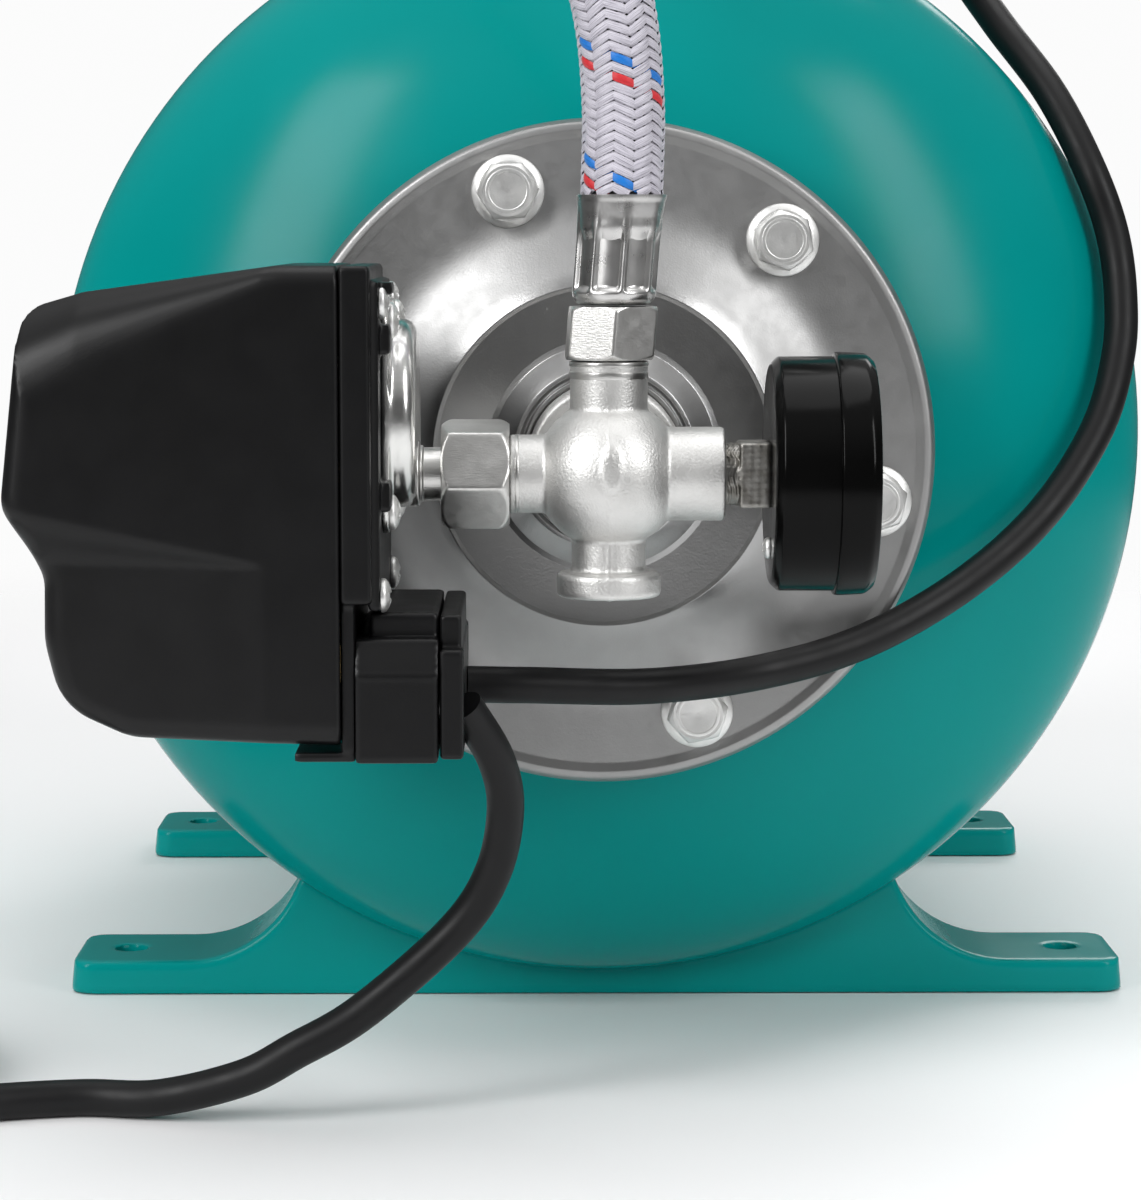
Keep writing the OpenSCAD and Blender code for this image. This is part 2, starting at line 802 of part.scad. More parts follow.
module gland_plate() {
    color(black) difference() {
        union() {
            block([-38, switch_y[0] + 1.4, 88], [gland_x, switch_y[1] - 1.4, 111.3]);
            block([-38, switch_y[0] + 6, 111.3 - eps], [gland_x, switch_y[1] - 6, 118.4]);
        }
        for (y = [-275, -225]) rod_x(1.8, -39, gland_x + 1, y = y, z = 108);
    }
}

// Main spring and, beside it, the smaller differential spring
module switch_springs() {
    color(steel) {
        translate([-110, spring_studs[0][0], spring_studs[0][1]]) rotate([0, 90, 0])
            coil_spring(7, 1.1, 7, 38);
        translate([-100, spring_studs[1][0], spring_studs[1][1]]) rotate([0, 90, 0])
            coil_spring(4, 0.7, 8, 28);
    }
}

// Plate that the plunger tilts against the springs, with the moving contacts
module contact_lever() {
    px = lever_pivot[0];
    pz = lever_pivot[1];
    color(zinc) difference() {
        union() {
            block([px - 1.2, -273.6, pz], [px + 1.2, -228, 180]);
            rod_y(lever_pivot_r, -277, -223, x = px, z = pz);
            for (y = [-240, -232])
                translate([px - 3.4, y, 139]) rotate([0, 90, 0]) cylinder(h = 2.3, r = 2.4);
        }
        for (stud = spring_studs)
            rod_x(stud[2] + 1, px - 3, px + 3, y = stud[0], z = stud[1]);
    }
}

module switch_plunger() {
    color(brass) {
        rod_x(1, -64.6, -62);
        rod_x(plunger_r, -62 - eps, -50.6);
        rod_x(2.1, -51, -46.6);
    }
}

module switch_terminals() {
    color(brass) for (y = [-274, -264, -236, -226]) {
        block([-80, y - 3, 104], [plate_x, y + 3, 112]);
        rod_z(2.4, 112 - eps, 114, x = -74, y = y);
    }
}

module switch_diaphragm() {
    color(rubber) rod_x(16, -46.4, -45.2, z = dish_z);
}

// ---- leads ----

module mains_lead() {
    color(black) {
        swept_tube(mains_route, lead_d / 2, steps = 1);
        swept_tube(tail_route, lead_d / 2, steps = 1);
    }
}

// Outer shape of the wound lead: two turns wide and two turns high
module mains_lead_coil() {
    color(black) translate([coil_at[0], coil_at[1], 0]) rotate_extrude($fn = 64)
        translate([coil_mid_r, lead_d]) square([2 * lead_d, 2 * lead_d], center = true);
}

// Two-pin earthed plug lying on its side, its pins pointing along +Y
module mains_plug() {
    y = -168;
    z = 19;
    color(black) {
        lathe_y([[0, y], [5.2, y], [6.4, y + 24], [10, y + 27], [13, y + 34], [15, y + 44],
            [18.9, y + 47], [18.9, y + 62], [17, y + 63], [0, y + 63]], x = -257, z = z);
        for (s = [-9.5, 9.5]) rod_y(2.4, y + 62, y + 82, x = -257 + s, z = z);
    }
}

module motor_lead() {
    color(black) swept_tube(motor_route, lead_d / 2, steps = 1);
}

// ---- pump ----

module pump_casing() {
    r = casing_r;
    t = 2;
    y0 = casing_y[0];
    y1 = casing_y[1];
    neck_r = 20.5;
    color(steel) difference() {
        union() {
            lathe_y(z = pump_z, pts = [
                [neck_r, y0 - 22], [neck_r, y0 + 1], [44, y0], [58, y0 + 3], [68, y0 + 9],
                [r - 1.6, y0 + 17], [r, y0 + 26], [r, y1], [casing_lip_r, y1],
                [casing_lip_r, y1 + 3], [r - t, y1 + 3], [r - t, y0 + 26],
                [r - t - 1.6, y0 + 18], [66, y0 + 11], [56, y0 + 5], [44, y0 + t],
                [port_thread_r, y0 + 3], [port_thread_r, y0 - 22]
            ]);
            difference() {
                rod_z(19, pump_z + r - 8, outlet_top, y = outlet_y);
                rod_y(r - t, y0, y1, z = pump_z);
            }
            rod_y(11, y0 - 7, y0 + 10, z = pump_z + 52);
            rod_y(11, y0 - 7, y0 + 10, z = pump_z - 52);
        }
        rod_z(port_thread_r, pump_z + r - 12, outlet_top + 1, y = outlet_y);
        rod_y(6.6, y0 - 8, y0 + 12, z = pump_z + 52);
        rod_y(6.6, y0 - 8, y0 + 12, z = pump_z - 52);
        for (i = [0 : 5])
            translate([0, 0, pump_z]) rotate([0, 30 + 60 * i, 0])
                rod_y(2.7, y1 - 3, y1 + 4, x = casing_bolt_pcr, z = 0);
    }
}

// Closed impeller: two discs joined by curved blades, on its hub
module impeller() {
    blades = 6;
    r = impeller_d / 2;
    y = -64;
    color(brass) difference() {
        union() {
            lathe_y([[0, y], [r, y], [r, y + 2], [13, y + 4], [13, y + 16], [0, y + 16]],
                z = pump_z);
            lathe_y([[20, y - 12], [24, y - 12], [26, y - 6], [r, y - 5], [r, y - 3.4],
                [20, y - 4.4]], z = pump_z);
            for (i = [0 : blades - 1])
                translate([0, y + eps, pump_z]) rotate([90, 360 / blades * i, 0])
                    intersection() {
                        translate([r / 2 + 4, -34, 0]) difference() {
                            cylinder(h = 4.4, r = 46);
                            translate([0, 0, -1]) cylinder(h = 8, r = 44);
                        }
                        difference() {
                            cylinder(h = 4.4, r = r - 0.3);
                            translate([0, 0, -1]) cylinder(h = 8, r = 21);
                        }
                    }
        }
        rod_y(shaft_r, y - 1, y + 17, z = pump_z);
    }
}

// Ring round the impeller that leads the water back to the casing
module diffuser() {
    r_in = impeller_d / 2 + 2;
    vanes = 8;
    color(white) {
        lathe_y([[r_in + 1, -52], [70, -52], [70, -49], [r_in + 1, -49]], z = pump_z);
        lathe_y([[24.6, -82], [70, -82], [70, -79], [24.6, -79]], z = pump_z);
        for (i = [0 : vanes - 1])
            translate([0, 0, pump_z]) rotate([0, 360 / vanes * i, 0])
                block([r_in + 1.5, -79 - eps, -1], [69.5, -52 + eps, 1]);
    }
}

// Ejector: nozzle and throat between the suction port and the impeller
module venturi() {
    color(white) lathe_y([
        [24.6, -82], [24, -82], [10, -100], [8, -118], [10, -124], [23, -127], [40, -127.4],
        [40, -130], [12, -130], [5, -122], [5, -116], [8, -98], [20, -82], [20, -79.5],
        [24.6, -79.5]
    ], z = pump_z);
}

// Non-return disc behind the suction port, with its guide stem
module check_valve() {
    color(brass) {
        rod_y(17, -146.7, -143.7, z = pump_z);
        rod_y(2.5, -143.7 - eps, -131, z = pump_z);
    }
}

module mechanical_seal() {
    color(black) lathe_y([[shaft_r + 0.6, -46], [15, -46], [15, -40], [19, -40], [19, -34.4],
        [shaft_r + 0.6, -34.4]], z = pump_z);
}

module casing_seal() {
    color(rubber) lathe_y([[71, -38.8], [72.8, -38.8], [72.8, bracket_y[0]],
        [71, bracket_y[0]]], z = pump_z);
}

module casing_bolts() {
    color(nickel) for (i = [0 : 5])
        translate([0, 0, pump_z]) rotate([0, 30 + 60 * i, 0]) {
            rod_y(hex_r(8), casing_y[1] - 4, casing_y[1], x = casing_bolt_pcr, z = 0, sides = 6);
            rod_y(2.5, casing_y[1] - eps, bracket_y[0] + 8, x = casing_bolt_pcr, z = 0);
        }
}

// Filler plug above and drain plug below the suction port
module casing_plugs() {
    color(nickel) for (s = [-52, 52]) {
        rod_y(hex_r(17), casing_y[0] - 15, casing_y[0] - 7, z = pump_z + s, sides = 6);
        rod_y(6.5, casing_y[0] - 7 - eps, casing_y[0] + 4, z = pump_z + s);
    }
}

// ---- motor ----

bearing_r = [shaft_r, 16];
bearing_y = [[-30, -19], [122, 133]];

module motor_bracket() {
    y0 = bracket_y[0];
    y1 = bracket_y[1];
    color(alu) difference() {
        lathe_y([[20, y0 - 1], [22, y0], [casing_lip_r, y0], [casing_lip_r, y0 + 8],
            [72, y0 + 12], [motor_r + 2, y1], [bearing_r[1] + 5, y1],
            [bearing_r[1] + 5, bearing_y[0][1]], [bearing_r[1], bearing_y[0][1]],
            [bearing_r[1], bearing_y[0][0]], [10, bearing_y[0][0]], [10, y0 + 3], [20, y0 + 3]],
            z = pump_z);
        for (i = [0 : 5])
            translate([0, 0, pump_z]) rotate([0, 30 + 60 * i, 0])
                rod_y(2.6, y0 - 1, y0 + 9, x = casing_bolt_pcr, z = 0);
    }
}

// Finned tube with a closed rear end that holds the rear bearing
module motor_housing() {
    fins = 36;
    t = 4;
    y0 = motor_y[0];
    y1 = motor_y[1];
    color(alu) union() {
        lathe_y([[motor_r - t, y0], [motor_r, y0], [motor_r, y1], [bearing_r[1], y1],
            [bearing_r[1], bearing_y[1][0]], [bearing_r[1] + 4, bearing_y[1][0]],
            [bearing_r[1] + 4, y1 - 4], [motor_r - t, y1 - 4]], z = pump_z);
        for (i = [0 : fins - 1])
            let (a = 360 / fins * i)
                if (abs(sin(a)) < 0.8)
                    translate([0, 0, pump_z]) rotate([0, a, 0])
                        block([motor_r - 1, y0 + 6, -1], [motor_r + 5, y1 - 6, 1]);
    }
}

module stator() {
    bore = rotor_d / 2 + air_gap;
    color(copper) {
        lathe_y([[bore + 4, 14], [motor_r - 8, 14], [motor_r - 8, 30], [bore + 4, 30]],
            z = pump_z);
        lathe_y([[bore + 4, 90], [motor_r - 8, 90], [motor_r - 8, 106], [bore + 4, 106]],
            z = pump_z);
    }
    color(steel) lathe_y([[bore, 30], [motor_r - 4, 30], [motor_r - 4, 90], [bore, 90]],
        z = pump_z);
}

module rotor_shaft() {
    color(steel) {
        rod_y(shaft_r, -66, fan_y[1] - 4, z = pump_z);
        rod_y(rotor_d / 2, 30, 90, z = pump_z);
        rod_y(shaft_r + 4, 24, 96, z = pump_z);
    }
}

module motor_bearings() {
    color(steel) for (y = bearing_y)
        lathe_y([[shaft_r + 0.05, y[0]], [bearing_r[1], y[0]], [bearing_r[1], y[1]],
            [shaft_r + 0.05, y[1]]], z = pump_z);
}

module fan() {
    blades = 9;
    color(black) difference() {
        union() {
            rod_y(14, fan_y[0], fan_y[1], z = pump_z);
            rod_y(56, fan_y[0], fan_y[0] + 2, z = pump_z);
            for (i = [0 : blades - 1])
                translate([0, 0, pump_z]) rotate([0, 360 / blades * i, 0])
                    block([13, fan_y[0], -1], [56, fan_y[1], 1]);
        }
        rod_y(shaft_r, fan_y[0] - 1, fan_y[1] + 1, z = pump_z);
    }
}

// Sheet cover over the fan, with rings of air slots in its end
module fan_cover() {
    r = motor_r + 7;
    t = 1.5;
    y0 = motor_y[1] - 12;
    y1 = cover_end_y;
    color(black) difference() {
        lathe_y([[r - t, y0], [r, y0], [r, y1 - 8], [r - 2.5, y1 - 2.5], [r - 8, y1], [0, y1],
            [0, y1 - t], [r - 8, y1 - t], [r - 4, y1 - 3.6], [r - t, y1 - 8]], z = pump_z);
        for (ring = [22, 33, 44], i = [0 : 11])
            translate([0, 0, pump_z]) rotate([0, 30 * i + ring, 0])
                block([ring - 3, y1 - 4, -ring / 6], [ring + 3, y1 + 1, ring / 6]);
    }
}

module terminal_box() {
    y = [8, 112];
    hx = 38;
    t = 2.5;
    lo = box_z[0];
    hi = box_z[1];
    color(black) difference() {
        union() {
            block([-hx, y[0], lo], [hx, y[1], hi]);
            block([-24, y[0] + 8, pump_z + motor_r - 2], [24, y[1] - 8, lo + eps]);
            rod_x(8, hx - eps, box_gland_x, y = box_gland[0], z = box_gland[1]);
        }
        block([-hx + t, y[0] + t, lo + t], [hx - t, y[1] - t, hi + 1]);
        rod_y(motor_r, 0, 120, z = pump_z);
        rod_x(4.6, hx - 5, box_gland_x - 2, y = box_gland[0], z = box_gland[1]);
    }
}

module terminal_lid() {
    color(black) difference() {
        block([-39.5, 6.5, box_z[1]], [39.5, 113.5, box_lid_z]);
        block([-36, 10, box_z[1] - 1], [36, 110, box_lid_z - 2.5]);
    }
}

module capacitor() {
    color(white) rod_y(14, 46, 104, x = -14, z = box_z[0] + 17);
}

// Cast foot between the motor and the saddle
module motor_foot() {
    y = [14, 86];
    top = 342;
    color(black) difference() {
        union() {
            block([-46, y[0], saddle_z[1]], [46, y[1], saddle_z[1] + 5]);
            translate([0, y[1] - 4, 0]) rotate([90, 0, 0])
                linear_extrude(height = y[1] - y[0] - 8)
                    polygon([[-30, saddle_z[1] + 4], [-35, top], [35, top],
                        [30, saddle_z[1] + 4]]);
        }
        rod_y(motor_r, 0, 100, z = pump_z);
        for (x = [-screw_x, screw_x], yy = screw_y) rod_z(3.3, 290, 330, x = x, y = yy);
    }
}

module foot_screws() {
    color(nickel) for (x = [-screw_x, screw_x], y = screw_y) {
        rod_z(hex_r(10), saddle_z[1] + 5, saddle_z[1] + 9.5, x = x, y = y, sides = 6);
        rod_z(3, saddle_z[0] - 6, saddle_z[1] + 5 + eps, x = x, y = y);
    }
}

tank_shell();
front_foot();
rear_foot();
pump_saddle();
membrane();
tank_flange();
flange_bolts();
air_valve();
air_valve_cap();
air_valve_pin();
fiveway_body();
hose_nuts();
hose_ferrules();
braided_hose();
outlet_elbow();
gauge_case();
gauge_bezel();
gauge_lens();
gauge_dial();
gauge_pointer();
gauge_stem();
gauge_bourdon_tube();
gauge_sector();
switch_cover();
switch_base();
switch_dish();
switch_nut();
switch_screws();
gland_block();
gland_plate();
switch_springs();
contact_lever();
switch_plunger();
switch_terminals();
switch_diaphragm();
mains_lead();
mains_lead_coil();
mains_plug();
motor_lead();
pump_casing();
impeller();
diffuser();
venturi();
check_valve();
mechanical_seal();
casing_seal();
casing_bolts();
casing_plugs();
motor_bracket();
motor_housing();
stator();
rotor_shaft();
motor_bearings();
fan();
fan_cover();
terminal_box();
terminal_lid();
capacitor();
motor_foot();
foot_screws();
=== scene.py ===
import functools
import itertools
import json
import math

import bmesh
import bpy
import numpy as np
from mathutils import Euler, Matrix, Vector


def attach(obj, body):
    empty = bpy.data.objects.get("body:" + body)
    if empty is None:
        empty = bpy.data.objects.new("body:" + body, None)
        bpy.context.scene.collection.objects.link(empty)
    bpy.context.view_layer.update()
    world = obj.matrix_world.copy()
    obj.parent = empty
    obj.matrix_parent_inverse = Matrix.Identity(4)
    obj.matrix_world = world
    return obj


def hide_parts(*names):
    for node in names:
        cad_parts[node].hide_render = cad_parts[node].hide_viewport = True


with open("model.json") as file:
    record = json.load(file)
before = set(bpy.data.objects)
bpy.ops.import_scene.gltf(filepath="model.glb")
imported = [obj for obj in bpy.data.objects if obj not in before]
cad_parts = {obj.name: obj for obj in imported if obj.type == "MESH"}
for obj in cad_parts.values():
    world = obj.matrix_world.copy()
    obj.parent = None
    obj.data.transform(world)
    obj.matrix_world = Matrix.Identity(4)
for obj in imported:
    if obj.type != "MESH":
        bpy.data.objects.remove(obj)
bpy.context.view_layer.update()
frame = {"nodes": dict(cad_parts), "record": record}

MM = 0.001
TAU = 2 * math.pi

# ---------------------------------------------------------------- camera

scene = bpy.context.scene
camera = bpy.data.objects.new("camera", bpy.data.cameras.new("camera"))
camera.data.lens = 102.96
camera.data.sensor_width = 36
camera.data.sensor_height = 36
camera.data.sensor_fit = "VERTICAL"
camera.location = (-0.01612, -1.0096, 0.20016)
camera.rotation_euler = Euler(
    (math.radians(90 - 6.1095), 0, math.radians(-0.576)), "XYZ")
scene.collection.objects.link(camera)
scene.camera = camera
scene.view_settings.view_transform = "Standard"

# ---------------------------------------------------------------- places, in millimetres, as in the frame

TANK_Z = 147.5
TANK_R = 140
WALL_Y = 119
DOME = 62
FIT = np.array([0, -250, 147.0])
FLANGE_BACK = -184
PUMP_Z = 388
LEAD_R = 4.2
HOSE_R = 9.2
OUTLET_Y = -105
OUTLET_TOP = 476
ELBOW = np.array([0, OUTLET_Y, 500.0])
ELBOW_TURN = math.radians(-30)
ELBOW_ARM = 30
NUT_LENGTH = 11.7
FERRULE_LENGTH = 24.0
LEAD_HOLES_Y = (-267, -235)
LEAD_HOLES_Z = 98
BOX_GLAND_Y, BOX_GLAND_Z = 40, 467


# ---------------------------------------------------------------- material nodes

class Nodes:
    """Short names for building one material's node tree."""

    def __init__(self, name):
        self.material = bpy.data.materials.new(name)
        self.material.use_nodes = True
        self.tree = self.material.node_tree
        self.shader = self.tree.nodes["Principled BSDF"]

    def add(self, kind, **settings):
        node = self.tree.nodes.new("ShaderNode" + kind)
        for key, value in settings.items():
            setattr(node, key, value)
        return node

    def join(self, out, into):
        self.tree.links.new(out, into)

    def place(self, source="Object"):
        return self.add("TexCoord").outputs[source]

    def noise(self, scale, detail=3.0, stretch=(1, 1, 1), source="Object"):
        mapping = self.add("Mapping")
        mapping.inputs["Scale"].default_value = stretch
        self.join(self.place(source), mapping.inputs["Vector"])
        noise = self.add("TexNoise")
        noise.inputs["Scale"].default_value = scale
        noise.inputs["Detail"].default_value = detail
        self.join(mapping.outputs["Vector"], noise.inputs["Vector"])
        return noise.outputs["Fac"]

    def spread(self, value, low, high, from_low=0.3, from_high=0.7):
        node = self.add("MapRange", interpolation_type="SMOOTHSTEP")
        node.inputs["From Min"].default_value = from_low
        node.inputs["From Max"].default_value = from_high
        node.inputs["To Min"].default_value = low
        node.inputs["To Max"].default_value = high
        self.join(value, node.inputs["Value"])
        return node.outputs["Result"]

    def blend(self, factor, one, two):
        node = self.add("Mix", data_type="RGBA")
        for value, socket in ((one, node.inputs["A"]), (two, node.inputs["B"])):
            if hasattr(value, "is_linked"):
                self.join(value, socket)
            else:
                socket.default_value = (*value, 1)
        self.join(factor, node.inputs["Factor"])
        return node.outputs["Result"]

    def relief(self, heights):
        """Bump from several (height output, depth in millimetres) pairs, one on the other."""
        normal = None
        for height, depth in heights:
            bump = self.add("Bump")
            bump.inputs["Strength"].default_value = 1
            bump.inputs["Distance"].default_value = depth * MM
            self.join(height, bump.inputs["Height"])
            if normal is not None:
                self.join(normal, bump.inputs["Normal"])
            normal = bump.outputs["Normal"]
        self.join(normal, self.shader.inputs["Normal"])

    def set(self, **values):
        for key, value in values.items():
            self.shader.inputs[key.replace("_", " ")].default_value = value


def finish_of(name, colour, dark, metal, rough, grain, grain_depth, patches=40, wave=None,
              brushed=None, specular=0.5):
    """A surface with broad patches from colour to dark, a roughness that varies over them,
    and fine relief: grain is its scale in 1/m, wave a broader (scale, depth), and brushed
    the (stretch, depth) of fine lines."""
    n = Nodes(name)
    broad = n.noise(patches, 4)
    n.join(n.blend(n.spread(broad, 0, 1, 0.25, 0.75), colour, dark),
           n.shader.inputs["Base Color"])
    fine = n.noise(grain, 3)
    n.join(n.spread(n.noise(patches * 2.3, 3), *rough, 0.2, 0.8), n.shader.inputs["Roughness"])
    relief = [(fine, grain_depth)]
    if wave:
        relief.append((n.noise(wave[0], 2), wave[1]))
    if brushed:
        relief.append((n.noise(1, 2, stretch=brushed[0]), brushed[1]))
    n.relief(relief)
    n.set(Metallic=metal)
    n.shader.inputs["Specular IOR Level"].default_value = specular
    return n.material


def flange_material():
    """Pressed stainless sheet: grainy and rough on the outer land, smoother towards the
    middle."""
    n = Nodes("stainless")
    n.join(n.blend(n.spread(n.noise(90, 5), 0, 1, 0.25, 0.75), (0.40, 0.399, 0.397),
                   (0.375, 0.374, 0.372)), n.shader.inputs["Base Color"])
    shift = n.add("VectorMath", operation="MULTIPLY_ADD")
    shift.inputs[1].default_value = (1, 0, 1)
    shift.inputs[2].default_value = (0, 0, -TANK_Z * MM)
    n.join(n.place(), shift.inputs[0])
    length = n.add("VectorMath", operation="LENGTH")
    n.join(shift.outputs["Vector"], length.inputs[0])
    rough = n.spread(length.outputs["Value"], 0.3, 0.46, 0.041, 0.045)
    vary = n.add("Math", operation="MULTIPLY")
    n.join(rough, vary.inputs[0])
    n.join(n.spread(n.noise(260, 4), 0.95, 1.05), vary.inputs[1])
    n.join(vary.outputs["Value"], n.shader.inputs["Roughness"])
    n.relief([(n.noise(2100, 2), 0.03), (n.noise(600, 2), 0.01)])
    n.set(Metallic=1)
    return n.material


def make_materials():
    m = {}

    def add(name, *looks, **options):
        m[name] = finish_of(name, *looks, **options)

    add("teal_paint", (0.0, 0.272, 0.26), (0.0, 0.26, 0.248), 0, (0.17, 0.22), 900, 0.002,
        25, wave=(260, 0.003), specular=0.11)
    m["stainless"] = flange_material()
    add("pressed_stainless", (0.56, 0.555, 0.55), (0.52, 0.517, 0.512), 1, (0.28, 0.33), 2200,
        0.002, 30, brushed=((200, 3000, 200), 0.0015))
    add("nickel_brass", (0.74, 0.736, 0.722), (0.66, 0.656, 0.643), 0.95, (0.42, 0.5), 1900,
        0.11, 120, wave=(600, 0.05))
    add("machined_nickel", (0.7, 0.695, 0.68), (0.6, 0.595, 0.58), 1, (0.28, 0.36), 2200,
        0.02, 160, brushed=((600, 1000, 3800), 0.03))
    add("crimped_steel", (0.66, 0.655, 0.645), (0.58, 0.575, 0.57), 1, (0.26, 0.32), 1500,
        0.008, 120)
    add("stained_brass", (0.46, 0.45, 0.43), (0.2, 0.19, 0.17), 1, (0.35, 0.5), 1500, 0.03,
        260, wave=(500, 0.02))
    add("zinc_steel", (0.9, 0.9, 0.88), (0.8, 0.8, 0.79), 1, (0.4, 0.5), 1800, 0.03,
        130, wave=(500, 0.03))
    add("dish_zinc", (0.78, 0.78, 0.76), (0.64, 0.64, 0.63), 1, (0.2, 0.27), 1500, 0.003,
        110, wave=(240, 0.01))
    add("black_plastic", (0.004, 0.004, 0.0044), (0.0032, 0.0032, 0.0035), 0, (0.35, 0.41),
        2400, 0.02, 40, specular=0.28)
    add("black_gloss", (0.0025, 0.0025, 0.0025), (0.0018, 0.0018, 0.0018), 0, (0.14, 0.19),
        900, 0.002, 60, wave=(280, 0.003), specular=0.1)
    add("black_rubber", (0.0065, 0.0065, 0.007), (0.005, 0.005, 0.0055), 0, (0.4, 0.52),
        2600, 0.012, 60, specular=0.26)
    add("bladder_rubber", (0.02, 0.02, 0.02), (0.014, 0.014, 0.014), 0, (0.55, 0.7), 1500,
        0.02)
    add("brass", (0.78, 0.56, 0.25), (0.66, 0.46, 0.2), 1, (0.22, 0.32), 2400, 0.006, 150)
    add("copper", (0.78, 0.38, 0.22), (0.5, 0.2, 0.12), 1, (0.25, 0.4), 1800, 0.01, 90)
    add("motor_steel", (0.42, 0.42, 0.42), (0.28, 0.28, 0.28), 1, (0.3, 0.46), 1400, 0.012)
    add("cast_aluminium", (0.5, 0.51, 0.52), (0.42, 0.43, 0.44), 1, (0.45, 0.58), 1000, 0.05,
        60)
    add("white_plastic", (0.74, 0.74, 0.7), (0.66, 0.66, 0.62), 0, (0.4, 0.5), 1500, 0.01)
    add("dial_face", (0.9, 0.9, 0.88), (0.86, 0.86, 0.84), 0, (0.45, 0.55), 2500, 0.004)
    m["tracer_blue"] = strand_material("tracer_blue", (0.0, 0.2, 0.68), (0.0, 0.13, 0.5))
    m["tracer_red"] = strand_material("tracer_red", (0.7, 0.02, 0.03), (0.5, 0.012, 0.02))
    m["hose_braid"] = strand_material("hose_braid", (0.66, 0.635, 0.71), (0.26, 0.245, 0.3))
    m["clear_lens"] = lens_material()
    return m


def strand_material(name, colour, dark):
    """A flat bundle of fine filaments, which run along the piece's u."""
    n = Nodes(name)
    fibres = n.noise(1.0, 2, stretch=(0.35, 9, 1), source="UV")
    n.join(n.blend(n.spread(fibres, 0, 1, 0.32, 0.54), dark, colour),
           n.shader.inputs["Base Color"])
    n.join(n.spread(fibres, 0.5, 0.34), n.shader.inputs["Roughness"])
    n.relief([(fibres, 0.06)])
    n.set(Sheen_Weight=0.25)
    return n.material


def lens_material():
    n = Nodes("clear_lens")
    n.join(n.spread(n.noise(60, 3), 0.02, 0.06), n.shader.inputs["Roughness"])
    n.join(n.spread(n.noise(35, 3), 0.1, 0.14), n.shader.inputs["Alpha"])
    n.set(IOR=1.5)
    n.shader.inputs["Base Color"].default_value = (0.85, 0.9, 0.9, 1)
    return n.material


MATERIALS = make_materials()


# ---------------------------------------------------------------- mesh helpers, in millimetres

def piece(name, verts, faces, material, body="frame", nodes=(), slot=None, uv=None, angle=38):
    """A mesh object that rides on a body and stands for the CAD nodes named."""
    mesh = bpy.data.meshes.new(name)
    mesh.from_pydata((np.asarray(verts, float) * MM).tolist(), [], faces)
    work = bmesh.new()
    work.from_mesh(mesh)
    bmesh.ops.recalc_face_normals(work, faces=work.faces)
    work.to_mesh(mesh)
    work.free()
    obj = bpy.data.objects.new(name, mesh)
    scene.collection.objects.link(obj)
    mesh.materials.append(MATERIALS[material])
    mesh.shade_smooth()
    mesh.set_sharp_from_angle(angle=math.radians(angle))
    if uv is not None:
        layer = mesh.uv_layers.new(name="along")
        loops = np.empty(len(mesh.loops), np.int32)
        mesh.loops.foreach_get("vertex_index", loops)
        layer.data.foreach_set("uv", np.asarray(uv, float)[loops].ravel())
    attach(obj, body)
    if nodes:
        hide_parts(*nodes)
    return obj


class Shape:
    """Vertices and faces gathered from several parts of one piece."""

    def __init__(self):
        self.verts = []
        self.faces = []
        self.count = 0

    def add(self, verts, faces, place=None):
        verts = np.asarray(verts, float)
        if place is not None:
            verts = place(verts)
        self.verts.append(verts)
        self.faces += [[i + self.count for i in f] for f in faces]
        self.count += len(verts)

    def turn(self, points, radius, axis, centre, around, place=None, steps=4):
        """Adds the outline, its corners rounded, turned about an axis through centre."""
        self.add(*turned(rounded(points, radius, steps), axis, centre, around), place)

    def make(self, name, material, **options):
        return piece(name, np.concatenate(self.verts), self.faces, material, **options)


def rounded(points, radius=0.6, steps=4):
    """The polyline with each corner turned into an arc. A point may carry its own radius,
    and a point on the axis, where the first number is 0, stays sharp."""
    pts = [np.array(p[:2], float) for p in points]
    radii = [p[2] if len(p) > 2 else radius for p in points]
    out = []
    for i, p in enumerate(pts):
        before, after = pts[i - 1], pts[(i + 1) % len(pts)]
        a, b = before - p, after - p
        la, lb = np.linalg.norm(a), np.linalg.norm(b)
        a, b = a / la, b / lb
        half = math.acos(np.clip(a @ b, -1, 1)) / 2
        if radii[i] <= 0 or p[0] == 0 or half > math.radians(86):
            out.append(p)
            continue
        back = min(radii[i] / math.tan(half), 0.48 * la, 0.48 * lb)
        r = back * math.tan(half)
        centre = p + (a + b) / np.linalg.norm(a + b) * (r / math.sin(half))
        start, end = p + a * back - centre, p + b * back - centre
        turn = math.atan2(start[0] * end[1] - start[1] * end[0], start @ end)
        for k in range(steps + 1):
            c, s = math.cos(turn * k / steps), math.sin(turn * k / steps)
            out.append(centre + np.array([c * start[0] - s * start[1],
                                          s * start[0] + c * start[1]]))
    return out


def ring(a, r, at, axis="z", centre=(0, 0)):
    """Points at angles a and radii r about an axis through centre, at the place at along it."""
    u, v = centre[0] + r * np.cos(a), centre[1] + r * np.sin(a)
    t = np.broadcast_to(at, a.shape)
    return np.stack([u, v, t] if axis == "z" else [u, t, v], 1)


def ring_faces(rings, around, closed):
    """Quads of a grid of rings that each close on themselves."""
    faces = []
    for i in range(rings if closed else rings - 1):
        j = (i + 1) % rings
        for k in range(around):
            n = (k + 1) % around
            faces.append([i * around + k, j * around + k, j * around + n, i * around + n])
    return faces


